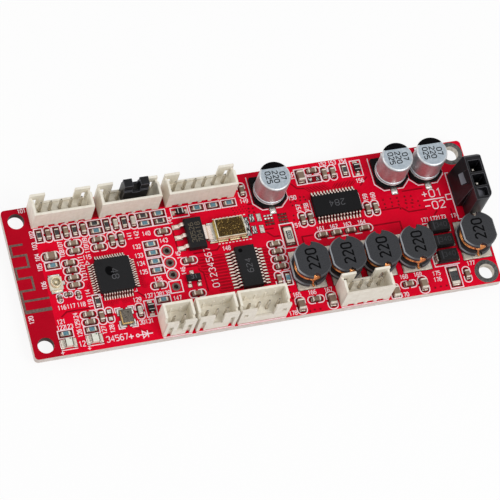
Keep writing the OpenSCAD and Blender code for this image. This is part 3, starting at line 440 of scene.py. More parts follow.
def housing_material():
    """Black plastic with a painted highlight on its latch ramp."""
    paint = Paint("latch_plastic")
    fine = paint.noise(0.06, detail=4.0)
    # Painted highlight: faces that lean sideways and face up are lighter grey
    slant = paint.above(paint.size(paint.facing("X")), 0.45)
    painted_ramp_highlight = paint.times(slant, paint.above(paint.facing("Z"), 0.4))
    colour = paint.mix(painted_ramp_highlight, paint.tones(paint.noise(0.5), "131315", "1b1b1e"), "6a6b72")
    return paint.coat(colour, fine, (0.28, 0.42), 0.12, Specular_IOR_Level=0.18)


def ring_material():
    """Dark tinned ring round a bright plated hole."""
    paint = Paint("mount_ring")
    grains = paint.noise(0.5)
    wall = paint.below(paint.size(paint.facing("Z")), 0.5)
    plated = paint.tones(grains, "a89f90", "d6d0c4")
    colour = paint.mix(wall, paint.tones(grains, "3a3938", "686664"), plated)
    return paint.coat(colour, paint.noise(0.2, detail=4.0), (0.3, 0.5), 0.2, Metallic=0.7)


def fuse_material():
    """Golden brown foil under resin with bright specks painted as glints, inside a thin pale rim."""
    paint = Paint("fuse_foil")
    cells = paint.node("ShaderNodeTexVoronoi", {"Vector": paint.coords, "Scale": 1 / (0.12 * MM)})
    shade = paint.part(cells.outputs["Color"], "X")
    broad = paint.noise(1.2)
    foil = paint.tones(shade, "160e04", "5c461d", 0.0, 1.0)
    foil = paint.mix(paint.range(broad, 0.0, 0.25), foil, "4f3c18")
    # Painted glints: the brightest cells become bright gold specks
    foil = paint.mix(paint.above(shade, 0.94), foil, "b2934e")
    lid = paint.above(paint.facing("Z"), 0.7)
    inside = lid
    low, high = box_mm("fuse")
    for axis, centre, span in (("X", FUSE_X, high.x - low.x), ("Y", FUSE_Y, high.y - low.y)):
        away = paint.gap(paint.along(axis), centre * MM)
        inside = paint.times(inside, paint.below(away, (span / 2 - FUSE_RIM) * MM))
    rim = paint.tones(broad, "cfc4a0", "efe9d8")
    border = paint.mix(lid, paint.tones(broad, "b9ad78", "efe8cf"), rim)
    return paint.coat(paint.mix(inside, border, foil), shade, (0.25, 0.45), 0.15, Metallic=0.3,
                      Specular_IOR_Level=0.12, Coat_Weight=0.06, Coat_Roughness=0.12)


def strap_material():
    """Tinned straps: golden where the left one climbs, with painted reflections on the right, dark and
    bright in bands along Y.
    """
    paint = Paint("fuse_strap")
    broad = paint.noise(0.6, detail=2.0)
    painted_reflections = paint.noise(0.4, detail=2.0, stretch=(2.0, 0.45, 0.45))
    climb = paint.above(paint.along("Z"), (TOP + 0.3) * MM)
    right = paint.above(paint.along("X"), FUSE_X * MM)
    gold = paint.tones(broad, "a5892f", "d3ba62")
    left_tin = paint.mix(climb, paint.tones(broad, "b2b2b0", "e2e1de"), gold)
    # Painted reflections: the right strap is dark with bright bands
    colour = paint.mix(right, left_tin, paint.tones(painted_reflections, "17171a", "e6e4e0", 0.48, 0.62))
    return paint.coat(colour, paint.noise(0.12), (0.2, 0.4), 0.08, Metallic=0.65)


def reflection_material():
    """Solder with painted reflections: bright, with dark bands along Y."""
    paint = Paint("solder_painted_reflections")
    painted_reflections = paint.noise(0.35, detail=2.0, stretch=(2.2, 0.5, 1))
    return paint.set(
        Base_Color=paint.tones(painted_reflections, "1d1d20", "eceae6", 0.47, 0.62),
        Roughness=paint.range(paint.noise(0.12), 0.2, 0.4),
        Normal=paint.bump(painted_reflections, 0.4, 0.06),
        Metallic=0.8,
    )


def nylon_material():
    """Cream nylon with faint upright flow lines on its walls, lighter as painted light past the front walls.
    """
    paint = Paint("cream_nylon")
    flow = paint.noise(0.5, stretch=(1, 1, 0.06))
    broad = paint.noise(1.2)
    y = paint.along("Y")
    # Painted light: the nylon inside the headers, past their front walls, is lighter
    painted_light_behind = paint.times(paint.above(y, -NEAR_FRONT * MM), paint.below(y, 0.0))
    painted_light_behind = paint.math("MAXIMUM", painted_light_behind, paint.above(y, FAR_FRONT * MM))
    cream = paint.mix(painted_light_behind, paint.tones(broad, "dad1c3", "e5ded2"), paint.tones(broad, "ece5d5", "f5f0e3"))
    colour = paint.mix(paint.range(flow, 0.0, 0.2, 0.45, 0.7), cream, "cfc3b8")
    return paint.coat(colour, paint.noise(0.08, detail=4.0), (0.42, 0.55), 0.06, Specular_IOR_Level=0.35)


def lens_material():
    """Pale resin over the lamp's middle, with dark lines and the patchy frame at both ends."""
    paint = Paint("lamp_resin")
    fine = paint.noise(0.2)
    clear = paint.tones(paint.noise(0.5), "d3d4c6", "edede1")
    dark = paint.tones(fine, "2b2216", "5d5038")
    colour = paint.tones(fine, "574f40", "f1eee4", 0.42, 0.56)
    for low, high in islands("lamp_lenses"):
        away = paint.gap(paint.along("X"), middle(low, high)[0] * MM)
        colour = paint.mix(paint.below(away, (LENS_HALF + LENS_LINE) * MM), colour, dark)
        colour = paint.mix(paint.below(away, LENS_HALF * MM), colour, clear)
    return paint.coat(colour, fine, (0.2, 0.35), 0.08, Coat_Weight=0.3)


def cap_material():
    """Fired ceramic whose shade differs from chip to chip."""
    paint = Paint("brown_ceramic")
    chip = paint.node("ShaderNodeNewGeometry").outputs["Random Per Island"]
    grains = paint.noise(0.12, detail=4.0)
    shade = paint.tones(chip, "7d6657", "96806c", 0.1, 0.9)
    for x, y in PALE_CAPS:
        ends = {0: paint.coords, 1: (x * MM, y * MM, TOP * MM)}
        away = paint.node("ShaderNodeVectorMath", ends, operation="DISTANCE").outputs["Value"]
        shade = paint.mix(paint.below(away, PALE_REACH * MM), shade, "cdc6ba")
    colour = paint.mix(paint.range(grains, 0.0, 0.35), shade, "5c4a3e")
    return paint.coat(colour, grains, (0.35, 0.55), 0.08, 0.01, Specular_IOR_Level=0.4)


def solder_material(name, low, high, rough):
    """Tinned copper and solder: patchy, with dull and bright areas."""
    paint = Paint(name)
    broad = paint.noise(0.45)
    fine = paint.noise(0.12)
    return paint.set(
        Base_Color=paint.tones(broad, low, high, 0.35, 0.65),
        Roughness=paint.range(fine, *rough),
        Normal=paint.bump(broad, 0.4, 0.08, Normal=paint.bump(fine, 0.15, 0.02)),
        Metallic=0.9,
    )


def lid_material():
    """Dull nickel lid with a golden edge on the left and in front."""
    paint = Paint("crystal_lid")
    grains = paint.noise(0.25, detail=4.0)
    lean = paint.math("ADD", paint.times(paint.facing("X"), 0.7), paint.times(paint.facing("Y"), 0.7))
    pits = paint.above(paint.noise(0.35, detail=1.0), 0.64)
    nickel = paint.mix(pits, paint.tones(grains, "524c46", "7d766c"), "35302c")
    colour = paint.mix(paint.above(lean, -0.25), paint.tones(grains, "b8934a", "e2c684"), nickel)
    return paint.coat(colour, grains, (0.3, 0.5), 0.25, Metallic=0.9)


def lead_material():
    """Tinned leads, bright above, with painted shade: dull on faces that lean to the front, dark on their
    sides.
    """
    paint = Paint("lead_tin")
    grains = paint.noise(0.25)
    up = paint.size(paint.facing("Z"))
    # Painted shade: faces leaning to the front and near-upright sides are darkened
    painted_shade_slope = paint.times(paint.below(paint.facing("Y"), -0.3), paint.below(up, 0.75))
    tinned = paint.mix(painted_shade_slope, paint.tones(grains, "e2cfc2", "f8e9df"), "a98f85")
    colour = paint.mix(paint.below(up, 0.3), tinned, paint.tones(grains, "4a2723", "6d4640"))
    return paint.coat(colour, paint.noise(0.1, detail=4.0), (0.22, 0.36), 0.08, Metallic=0.6)


def pin_material():
    """Tinned posts whose cut ends are dark."""
    paint = Paint("tinned_post")
    grains = paint.noise(0.3)
    tip = paint.tones(grains, "2b2824", "4a4640")
    colour = paint.mix(paint.above(paint.facing("Z"), 0.8), paint.tones(grains, "b5ac9c", "ddd5c6"), tip)
    return paint.coat(colour, grains, (0.25, 0.42), 0.1, Metallic=0.6)


# Each tone: name, two shades, size of the grains, gloss from and to, size and strength of the relief
PAINTS = {
    "solder_mask": mask_material(),
    "header_plastic": nylon_material(),
    "black_plastic": surface("black_plastic", "131315", "1b1b1e", 0.5, (0.28, 0.42), (0.06, 0.12),
                             level=0.18),
    "tin": surface("tin_plate", "b8b2a8", "dcd7ce", 0.3, (0.2, 0.36), (0.1, 0.12), metal=0.85),
    "can_metal": can_material(),
    "ferrite": ferrite_material(),
    "copper_wire": surface("copper_wire", "b05e26", "f0a75f", 0.3, (0.2, 0.34), metal=0.8,
                           Coat_Weight=0.5, Coat_Roughness=0.15),
    "mould_compound": surface("mould_compound", "161617", "202022", 0.12, (0.45, 0.62), (0.07, 0.25),
                              level=0.14),
    "fuse_foil": fuse_material(),
    "lamp_lens": lens_material(),
    "dark_ceramic": surface("dark_ceramic", "453f37", "5b544a", 0.15, (0.4, 0.55)),
    "white_ceramic": surface("white_alumina", "d0cbbd", "e2ded2", 0.2, (0.35, 0.5), (0.1, 0.08), level=0.4),
    "blue_glaze": surface("blue_glaze", "436e7c", "6a94a2", 0.4, (0.15, 0.3), (0.2, 0.06), level=0.4),
    "black_glaze": surface("black_glaze", "292a2b", "404244", 0.4, (0.22, 0.38), (0.2, 0.06), level=0.4),
    "brown_ceramic": cap_material(),
}
SOLDER = solder_material("solder", "6f675e", "cfc8be", (0.18, 0.38))
PAD_TIN = solder_material("pad_tin", "9a9288", "e0dad0", (0.3, 0.5))
# Painted dark reflection on the chips' pads
CHIP_PAD_REFLECTION = solder_material("chip_pad_painted_reflection", "3c1d1a", "7a5c53", (0.35, 0.55))
CHIP_SOLDER = solder_material("chip_solder", "6a5a51", "bdb2a6", (0.25, 0.45))
BRIGHT_TIN = solder_material("bright_tin", "a8a29a", "f4f1ec", (0.2, 0.35))
FOOT_TIN = surface("foot_tin", "c0a698", "e2cfc3", 0.4, (0.25, 0.4), (0.15, 0.1), metal=0.6)
END_TIN = surface("chip_end", "c9bfb0", "e9e1d4", 0.25, (0.3, 0.45), metal=0.35)
COIL_TIN = surface("coil_terminal", "bdb3a6", "e0d8cc", 0.3, (0.3, 0.45), (0.12, 0.2), metal=0.3)
DULL_TIN = surface("dull_tin", "53453f", "78665f", 0.35, (0.38, 0.58), (0.15, 0.15), metal=0.7)
# Painted shade for the inside of the spare holes
BORE_SHADE = surface("bore_painted_shade", "45352f", "80706a", 0.4, (0.3, 0.5), (0.2, 0.2), metal=0.6)
# Painted highlight for the cans' beads
BEAD_HIGHLIGHT = surface("can_bead", "e2e0de", "f5f4f3", 0.4, (0.3, 0.42), (0.1, 0.06), metal=0.2)
PALE_GOLD = surface("pale_gold", "d6c59c", "f0e7cf", 0.3, (0.2, 0.34), metal=0.75)
# The jumper's clip, dark as painted shade
CLIP_SHADE = surface("clip_painted_shade", "0b0a08", "191611", 0.3, (0.3, 0.45), metal=0.6)
BASE_BLACK = surface("matt_black", "0b0b0c", "131314", 0.5, (0.45, 0.6), (0.06, 0.12), level=0.06)
# Painted highlight on the bevels of black plastic
BLACK_EDGE_HIGHLIGHT = surface("black_edge_highlight", "38383c", "54545a", 0.3, (0.25, 0.4), (0.06, 0.1), level=0.3)
DARK_MOULD = surface("dark_mould", "101011", "18181a", 0.12, (0.45, 0.62), (0.07, 0.25), level=0.1)
LEAD_TIN = lead_material()
LID = lid_material()
LATCH = housing_material()
STRAP = strap_material()
# Solder painted with reflections
SOLDER_REFLECTIONS = reflection_material()
RING = ring_material()
POST = pin_material()


def mask_red(name, low, high, grain=0.8, rough=(0.28, 0.42), bump=(0.35, 0.06), level=0.06):
    return surface(name, low, high, grain, rough, bump, level=level)


def print_tone(name, low, high, level=0.3):
    return surface(name, low, high, 0.1, (0.5, 0.7), (0.06, 0.1), level=level)


# Reds of the mask over laminate, at edges of copper, over tracks and in openings darkened as painted shade,
# reds of painted shade, and the print
BARE_RED = mask_red("mask_over_laminate", "9a0016", "aa031c")
EDGE_RED = mask_red("copper_edge", "8a0013", "9e031a")
RIDGE_RED = mask_red("mask_over_track", "d00022", "dd0528", rough=(0.26, 0.4))
# Red of painted shade
SHADE_RED = mask_red("painted_shade_red", "7a0812", "940d19", 0.5, (0.35, 0.5), (0.2, 0.08))
# Openings round pads, dark red partly as painted shade
MASK_RIM_AND_SHADE = mask_red("opening_red_and_shade", "4a070d", "6a0c14", 0.5, (0.4, 0.6), (0.2, 0.1))
VIA_RED = mask_red("via_dimple", "4c050c", "760a16", 0.3, (0.3, 0.5), (0.2, 0.1), 0.1)
INK = surface("white_ink", "efd5dd", "fbecf1", 0.3, (0.45, 0.65), (0.15, 0.1), level=0.2)
MARK_FAINT = print_tone("dull_mark", "333336", "414145", 0.15)
MARK_GREY = print_tone("faint_mark", "4a4a4d", "5e5e62")
MARK_WARM = print_tone("warm_mark", "4f483c", "695f4e")
MARK_PALE = print_tone("pale_mark", "bdbbb6", "dcdad5")
MARK_BLACK = surface("black_mark", "060607", "0d0d0e", 0.2, (0.4, 0.6), level=0.02)
MARK_GREEN = surface("green_mark", "2d6648", "3f8560", 0.1, (0.4, 0.6), level=0.2)

nodes["pcb"].data.materials.clear()
nodes["pcb"].data.materials.append(PAINTS["solder_mask"])

# The CAD solids, with their edges eased where the faces meet at more than the angle SHARP
SHARP = 38
EASED_SHARP = 40
# Vertices nearer than this are joined, and faces that bend by less than this angle
WELD = 0.002
FLAT = 0.6


def dress(name, slot, width, body="board", paint=None, edge_highlight=None):
    """A copy of a CAD node with eased edges, whose bevels may get a painted highlight, stands for it."""
    bm = bmesh.new()
    bm.from_mesh(nodes[name].data)
    bmesh.ops.remove_doubles(bm, verts=bm.verts, dist=WELD * MM)
    bmesh.ops.dissolve_limit(bm, angle_limit=math.radians(FLAT), verts=bm.verts, edges=bm.edges)
    edges = [e for e in bm.edges if e.is_manifold and e.calc_face_angle(0) > math.radians(SHARP)]
    if width:
        bmesh.ops.bevel(bm, geom=edges, offset=width * MM, segments=2, profile=0.5,
                        affect="EDGES", clamp_overlap=True, material=1 if edge_highlight else -1)
    mesh = bpy.data.meshes.new(name + "_eased")
    bm.to_mesh(mesh)
    bm.free()
    obj = place(name + "_eased", mesh, paint or PAINTS[slot], body, EASED_SHARP if width else SHARP)
    if edge_highlight:
        obj.data.materials.append(edge_highlight)
    weight = obj.modifiers.new("even_normals", "WEIGHTED_NORMAL")
    weight.keep_sharp = True
    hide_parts(name)


# Slot, width of the eased edges, nodes, and the material where it isn't the slot's own
EASED = [
    ("header_plastic", 0.06, ["header_%d" % i for i in range(1, 8)], None),
    ("tin", 0.04, ["power_pins", "power_diode_leads"], None),
    ("can_metal", 0, ["can_1", "can_2", "can_3"], None),
    ("ferrite", 0.04, ["drum_%d" % i for i in range(1, 6)], None),
    ("mould_compound", 0.04,
     ["controller", "audio_chip", "regulator", "transistor", "power_diodes", "signal_diodes"], None),
    ("fuse_foil", 0.05, ["fuse"], None),
    ("lamp_lens", 0.06, ["lamp_lenses"], None),
    ("white_ceramic", 0.03, ["resistors"], None),
    ("dark_ceramic", 0.03, ["crystal_base"], None),
    ("blue_glaze", 0.015, ["blue_coats"], None),
    ("black_glaze", 0.015, ["black_coats"], None),
    ("brown_ceramic", 0.05, ["capacitors"], None),
    ("tin", 0.02, ["controller_leads", "audio_chip_leads", "amplifier_leads", "regulator_leads",
                   "transistor_leads", "signal_diode_leads"], LEAD_TIN),
    ("black_plastic", 0.07, ["can_base_1", "can_base_2", "can_base_3"], BASE_BLACK),
    ("mould_compound", 0.04, ["amplifier"], DARK_MOULD),
    ("tin", 0.04, ["can_leads"], BRIGHT_TIN),
    ("tin", 0.04, ["drum_leads"], COIL_TIN),
    ("tin", 0.06, ["chip_ends"], END_TIN),
    ("header_plastic", 0.03, ["lamp_bases", "coax_base"], PAINTS["white_ceramic"]),
    ("gold_plate", 0.04, ["coax_contacts"], PALE_GOLD),
]
for slot, width, names, paint in EASED:
    for name in names:
        dress(name, slot, width, paint=paint)
# The bevels of the jumper's cap and the power housing get a painted highlight
dress("jumper_cap", "black_plastic", 0.08, body="jumper", edge_highlight=BLACK_EDGE_HIGHLIGHT)
# The clip is dark as painted shade inside the cap
dress("jumper_clip", "gold_plate", 0.03, body="jumper", paint=CLIP_SHADE)
dress("power_housing", "black_plastic", 0.07, paint=LATCH, edge_highlight=BLACK_EDGE_HIGHLIGHT)
dress("header_pins", "tin", 0.04, paint=POST)
dress("fuse_straps", "tin", 0.04, paint=STRAP)
dress("crystal_lid", "gold_plate", 0.07, paint=LID)

# Rolled beads at the feet of the cans, near white as a painted highlight
beads = Shape()
BEAD_R = 0.11
for i in (1, 2, 3):
    low, high = box_mm("can_%d" % i)
    r = (high.x - low.x) / 2
    bulge = circle(0, 0, BEAD_R, 10)
    beads.lathe(*middle(low, high), [(r + 0.5 * x, low.z + 1.6 * (BEAD_R + y)) for x, y in bulge], 48)
beads.piece("can_beads", BEAD_HIGHLIGHT, smooth=60)


# Windings of the inductors
def smooth_path(points, steps=6):
    """A curve through the points."""
    pts = [Vector(p) for p in points]
    path = []
    for i in range(len(pts) - 1):
        a, b = pts[max(i - 1, 0)], pts[i]
        c, d = pts[i + 1], pts[min(i + 2, len(pts) - 1)]
        for k in range(steps):
            t = k / steps
            path.append(0.5 * (2 * b + (c - a) * t + (2 * a - 5 * b + 4 * c - d) * t * t
                               + (3 * b - a - 3 * c + d) * t ** 3))
    return path + [pts[-1]]


WIRE_D = 0.5
FLANGE_T = 1.1
WINDING_R = 2.9
CORE_R, SLEEVE_R = 2.16, 2.72
PER_TURN = 28
# Height of the wire's ends above the board
TAIL_Z = TOP + 0.45
for i in range(1, 6):
    low, high = box_mm("drum_%d" % i)
    cx, cy = middle(low, high)
    base = low.z + FLANGE_T + 0.05
    turns = int((high.z - FLANGE_T - 0.05 - base) / WIRE_D + 0.01)
    winding = Shape()
    helix = []
    for k in range(PER_TURN * (turns - 1) + 1):
        a = -math.pi / 2 + 2 * math.pi * k / PER_TURN
        z = base + WIRE_D * (0.5 + k / PER_TURN)
        helix.append((cx + WINDING_R * math.cos(a), cy + WINDING_R * math.sin(a), z))
    winding.tube(helix, WIRE_D * 0.49)
    full = base + turns * WIRE_D
    winding.lathe(cx, cy, [(CORE_R, base), (SLEEVE_R, base), (SLEEVE_R, full), (CORE_R, full)])
    for s in (-1, 1):
        tail = [(0.9, 2.85, base + WIRE_D * 2.2), (0.25, 3.1, base + WIRE_D * 1.2), (0, 3.2, base - 0.2),
                (0, 3.25, TAIL_Z + 0.35), (-0.1, 3.5, TAIL_Z), (-0.3, 3.85, TAIL_Z - 0.02)]
        winding.tube(smooth_path([(cx + s * x, cy + s * y, z) for x, y, z in tail]), WIRE_D * 0.46)
    coil = winding.piece("winding_%d" % i, PAINTS["copper_wire"], smooth=60)
    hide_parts("coil_%d" % i)

# Soldered tails under the board, with hollow flanks
joints = Shape()
JOINT_BORE = 0.2
JOINT_TIP = 0.32
for low, high in islands("solder_joints"):
    r = (high[0] - low[0]) / 2
    tip, root_z = low[2], high[2]
    profile = [(JOINT_BORE, root_z), (r, root_z)]
    for t in (0.2, 0.4, 0.6, 0.8, 1.0):
        profile.append((JOINT_TIP + (r - JOINT_TIP) * (1 - t) ** 2, root_z + (tip - root_z) * t))
    profile.append((JOINT_BORE, tip))
    joints.lathe(*middle(low, high), profile, 20)
joint_piece = joints.piece("soldered_tails", SOLDER, smooth=50)
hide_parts("solder_joints")

# Pads and solder on the board
flats = Shape(3)
solder = Shape()
rims_and_shade = Shape(3)
shade_fields = Shape(3)
feet = Shape(3)
chip_pads = Shape(3)
chip_solder = Shape()
bright = Shape(3)
reflection_pads = Shape(3)
ledge = Shape(3)
# Width of the opening round a pad, margin at the board's edges, and how far solder goes under a part
RIM = 0.1
EDGE = 0.14
TUCK = 0.06


def kept(points):
    """The points, held inside the board's edges."""
    end, side = HALF_L - EDGE, HALF_W - EDGE
    return [(min(max(x, -end), end), min(max(y, -side), side)) for x, y in points]


def pad(x, y, length, width, turn=0, rise=0.0, shape=flats):
    """A tinned pad in its opening of the mask."""
    shape.sheet(kept(box_outline(x, y, length, width, turn)), PAD_T + rise)
    # Each pad's opening is dark red, partly painted shade
    rims_and_shade.sheet(kept(box_outline(x, y, length + 2 * RIM, width + 2 * RIM, turn)), RIM_T)


def fillet(x, y, turn, half, reach, height, shape=solder):
    """Solder that climbs from a pad to the end of a part."""
    foot = TOP + PAD_T
    profile = [(-TUCK, TOP), (reach, TOP)]
    for t in (0, 0.2, 0.4, 0.6, 0.8, 1.0):
        hollow = 1 - 0.45 * math.sin(math.pi * t)
        profile.append((reach * (1 - t) * hollow, foot + height * t ** 1.3))
    profile.append((-TUCK, foot + height))
    shape.wedge(x, y, turn, half, profile)


# Share of a chip's length that each end takes, and width of its pads over its own
END_SHARE = 0.18
PAD_OVER = 1.12
# Middle of the capacitor whose outline has square corners
BOXED = (12.9, 13.0)
# Each chip: whether its outline has square corners, its middle, length, width, height and turn
CHIPS = []
for name in ("resistors", "capacitors"):
    for low, high in islands(name):
        dx, dy = high[0] - low[0], high[1] - low[1]
        at = middle(low, high)
        square = name == "resistors" or math.dist(at, BOXED) < 0.3
        length = max(dx, dy) / (1 - 2 * END_SHARE)
        CHIPS.append((square, *at, length, min(dx, dy), high[2] - low[2], 0 if dx > dy else 90))
for square, x, y, length, width, height, along in CHIPS:
    out = 0.22 + 0.12 * width
    # Painted shade: dark red under the whole chip and its pads
    rims_and_shade.sheet(kept(box_outline(x, y, length + 2 * out + 0.16, width * PAD_OVER + 0.2, along)), RIM_T)
    # Painted shade: a dark red field round each chip, inside its outline
    if square or length > 3:
        field = box_outline(x, y, length + 1.2, width + 0.62, along)
    else:
        half = (width + 0.56) / 2
        stem = max(length / 2 + 0.62 - half, 0)
        angles = [math.radians(20 * k - 80) for k in range(9)]
        arc = [(stem + half * math.cos(a), half * math.sin(a)) for a in angles]
        field = moved(arc + [(-px, -py) for px, py in arc], x, y, along)
    shade_fields.sheet(kept(field), FIELD_T)
    for turn in (along, along + 180):
        pad_at, end = moved([((length * 0.76 + out) / 2, 0), (length / 2, 0)], x, y, turn)
        pad(*pad_at, length * 0.24 + out, width * PAD_OVER, turn, shape=chip_pads)
        fillet(*end, turn, width * 0.44, out * 0.6, min(height, 0.6) * 0.5, chip_solder)
# Painted shade in the gaps between the headers at the far edge
for i in (1, 2):
    left, right = box_mm("header_%d" % i), box_mm("header_%d" % (i + 1))
    near, far = left[0].y + 0.3, left[1].y - 0.1
    shade_fields.sheet([(left[1].x, near), (right[0].x, near), (right[0].x, far), (left[1].x, far)], FIELD_T)

# Pads of the leads: node, reach of each pad past its lead, its width over the lead's, its inner cut
LEADS = [
    ("controller_leads", 0.12, -0.07, 0.45), ("audio_chip_leads", 0.15, -0.08, 0.6),
    ("amplifier_leads", 0.2, -0.06, 0.4), ("regulator_leads", 0.4, 0.2, 0.6),
    ("transistor_leads", 0.35, 0.3, 0.2), ("signal_diode_leads", 0.25, 0.5, 0.15),
]


def mean_middle(boxes):
    """Mean of the boxes' middles."""
    spots = [middle(*box) for box in boxes]
    return [sum(values) / len(spots) for values in zip(*spots)]


for name, out, wider, cut in LEADS:
    boxes = islands(name)
    cx, cy = mean_middle(boxes)
    for low, high in boxes:
        x, y = middle(low, high)
        if name == "signal_diode_leads":
            diodes = [middle(*box) for box in islands("signal_diodes")]
            cx, cy = min(diodes, key=lambda p: abs(p[0] - x) + abs(p[1] - y))
        dx, dy = high[0] - low[0], high[1] - low[1]
        if name in ("controller_leads", "signal_diode_leads"):
            wide = abs(x - cx) > abs(y - cy)
        else:
            wide = name in ("audio_chip_leads", "regulator_leads")
        span, across = (dx, dy) if wide else (dy, dx)
        outward = (x - cx if wide else y - cy) > 0
        turn = (0 if wide else 90) + (0 if outward else 180)
        reach = span - cut + out
        places = (-span * 0.2, span / 2 + out - reach / 2, span / 2)
        shade, foot, tip = moved([(d, 0) for d in places], x, y, turn)
        if name in ("controller_leads", "audio_chip_leads", "amplifier_leads"):
            # Painted shade under each row of leads, darker still near the body
            shade_fields.sheet(box_outline(x, y, span + 0.1, across * 2.6, turn), STRIP_T)
            rims_and_shade.sheet(box_outline(*shade, span * 0.6, across * 2.6, turn), RIM_T)
        pad(*foot, reach, across + wider, turn, shape=feet)
        fillet(*tip, turn, across / 2, out * 0.7, 0.11, feet)

# Pads under the inductors, the cans, the diodes, the fuse, the crystal, the lamps and the antenna socket
for low, high in islands("drum_leads"):
    pad(*middle(low, high), high[0] - low[0] + 0.35, high[1] - low[1] + 0.3)
can_y = middle(*box_mm("can_1"))[1]
for x, y, low, high in solids("can_leads"):
    sign = -1 if y < can_y else 1
    pad(x, y + sign * 0.25, high[0] - low[0] + 0.3, high[1] - low[1] + 0.5, shape=bright)
    fillet(x, low[1] if sign < 0 else high[1], 90 * sign, 0.42, 0.32, 0.2, bright)
diode_x = middle(*box_mm("power_diodes"))[0]
for x, y, low, high in solids("power_diode_leads"):
    sign = -1 if x < diode_x else 1
    pad(x + sign * 0.2, y, high[0] - low[0] + 0.4, high[1] - low[1] + 0.3)
    fillet(low[0] if sign < 0 else high[0], y, 90 - 90 * sign, 0.7, 0.3, 0.5)
for x, y, low, high in solids("fuse_straps"):
    sign = -1 if x < FUSE_X else 1
    # The right strap's pad and solder get painted reflections
    shape = bright if sign < 0 else reflection_pads
    pad(x + sign * 0.35, y, high[0] - low[0] + 0.7, high[1] - low[1] + 0.2, shape=shape)
    fillet(low[0] if sign < 0 else high[0], y, 90 - 90 * sign, 1.6, 0.5, 0.15, shape)
# Tinned strips along the front of the fuse: distance from its left end, and length
fuse_low = box_mm("fuse")[0]
for shift, length in ((-0.7, 1.5), (1.2, 2.0), (3.6, 2.0), (5.6, 1.2)):
    pad(fuse_low.x + shift, fuse_low.y - 0.17, length, 0.28, rise=0.004, shape=ledge)
CORNERS = [(-1, -1), (-1, 1), (1, -1), (1, 1)]
crystal_x, crystal_y = middle(*box_mm("crystal_base"))
for sx, sy in CORNERS:
    pad(crystal_x + sx * 0.95, crystal_y + sy * 1.25, 1.3, 1.4, rise=0.03, shape=bright)
LAMPS = [middle(*box) for box in islands("lamp_bases")]
for x, y in LAMPS:
    for s in (-1, 1):
        pad(x + s * 1.25, y, 0.7, 1.8, shape=bright)
        fillet(x + s * 1.5, y, 90 - 90 * s, 0.75, 0.12, 0.2, bright)
coax_x, coax_y = middle(*box_mm("coax_base"))
for s in (-1, 1):
    pad(coax_x, coax_y + s * 1.45, 2.2, 0.9, rise=0.02, shape=bright)
pad(coax_x + 1.45, coax_y, 0.7, 0.8, rise=0.02, shape=bright)
# Bare pads for parts that aren't fitted
# Two of the bare pads get painted reflections
for x, y, shape in ((1.0, 6.0, reflection_pads), (2.46, 5.9, flats), (0.93, 3.5, reflection_pads), (2.46, 3.4, flats)):
    pad(x, y, 0.85, 1.6, rise=0.03, shape=shape)
for column, x0 in enumerate((3.7, 6.5)):
    for i in range(3):
        for k in range(4):
            shape = chip_pads if column or k > 1 else bright
            pad(x0 + i * 0.65, 6.0 - k * 0.62 - column * 0.2, 0.42, 0.3, shape=shape)
LEFT_GAP, FAR_GAP = (-31.2, -9.1), (15.5, 12.1)
# The far pads get painted reflections
for s in (-1, 1):
    pad(LEFT_GAP[0], LEFT_GAP[1] + s * 0.75, 0.75, 0.7, rise=0.05, shape=bright)
    pad(FAR_GAP[0] + s * 0.8, FAR_GAP[1], 0.7, 0.75, rise=0.05, shape=reflection_pads)
# Painted shade in the fields of these two empty places
shade_fields.sheet(box_outline(*FAR_GAP, 2.8, 1.3), FIELD_T)
shade_fields.sheet(box_outline(*LEFT_GAP, 1.2, 2.6), FIELD_T)
# Rings of the spare holes with dark sleeves inside as painted shade, and of the pins on the underside
SPARE = [(-17.2, 2.05 - i * 2.54) for i in range(4)]
SPARE_R, SPARE_PAD = 0.5, 0.85
PAD_TOP, PAD_UNDER = TOP + PAD_T, UNDER - PAD_T
shade_bores = Shape()
# Thickness of a sleeve's wall, and height
SLEEVE = [(0.32, PAD_UNDER), (0.3, UNDER + 0.4), (0.06, TOP - 0.3), (0.04, PAD_TOP), (0, PAD_TOP),
          (0, PAD_UNDER)]
for x, y in SPARE:
    shade_bores.lathe(x, y, [(SPARE_R - wall, z) for wall, z in SLEEVE], 28)
    for low, high in ((TOP, PAD_TOP), (PAD_UNDER, UNDER)):
        shade_bores.lathe(x, y, [(SPARE_R, low), (SPARE_PAD, low), (SPARE_PAD, high), (SPARE_R, high)], 28)
under_pads = Shape()
for low, high in islands("solder_joints"):
    inner = (high[0] - low[0]) / 2 - 0.1
    outer = inner + 0.22
    ring = [(inner, PAD_UNDER), (outer, PAD_UNDER), (outer, UNDER), (inner, UNDER)]
    under_pads.lathe(*middle(low, high), ring, 24)
flats.piece("bare_pads", PAD_TIN, smooth=40)
solder.piece("solder_fillets", SOLDER, smooth=40)
rims_and_shade.piece("openings_and_shade", MASK_RIM_AND_SHADE)
shade_fields.piece("painted_shade_fields", SHADE_RED)
feet.piece("lead_pads", FOOT_TIN, smooth=40)
chip_pads.piece("chip_pads", CHIP_PAD_REFLECTION, smooth=40)
chip_solder.piece("chip_fillets", CHIP_SOLDER, smooth=40)
bright.piece("bright_pads", BRIGHT_TIN, smooth=40)
reflection_pads.piece("pads_painted_reflections", SOLDER_REFLECTIONS, smooth=40)
ledge.piece("fuse_ledge", PALE_GOLD, smooth=40)
shade_bores.piece("spare_hole_shade_sleeves", BORE_SHADE, smooth=40)
under_pads.piece("pads_below", PAD_TIN, smooth=40)

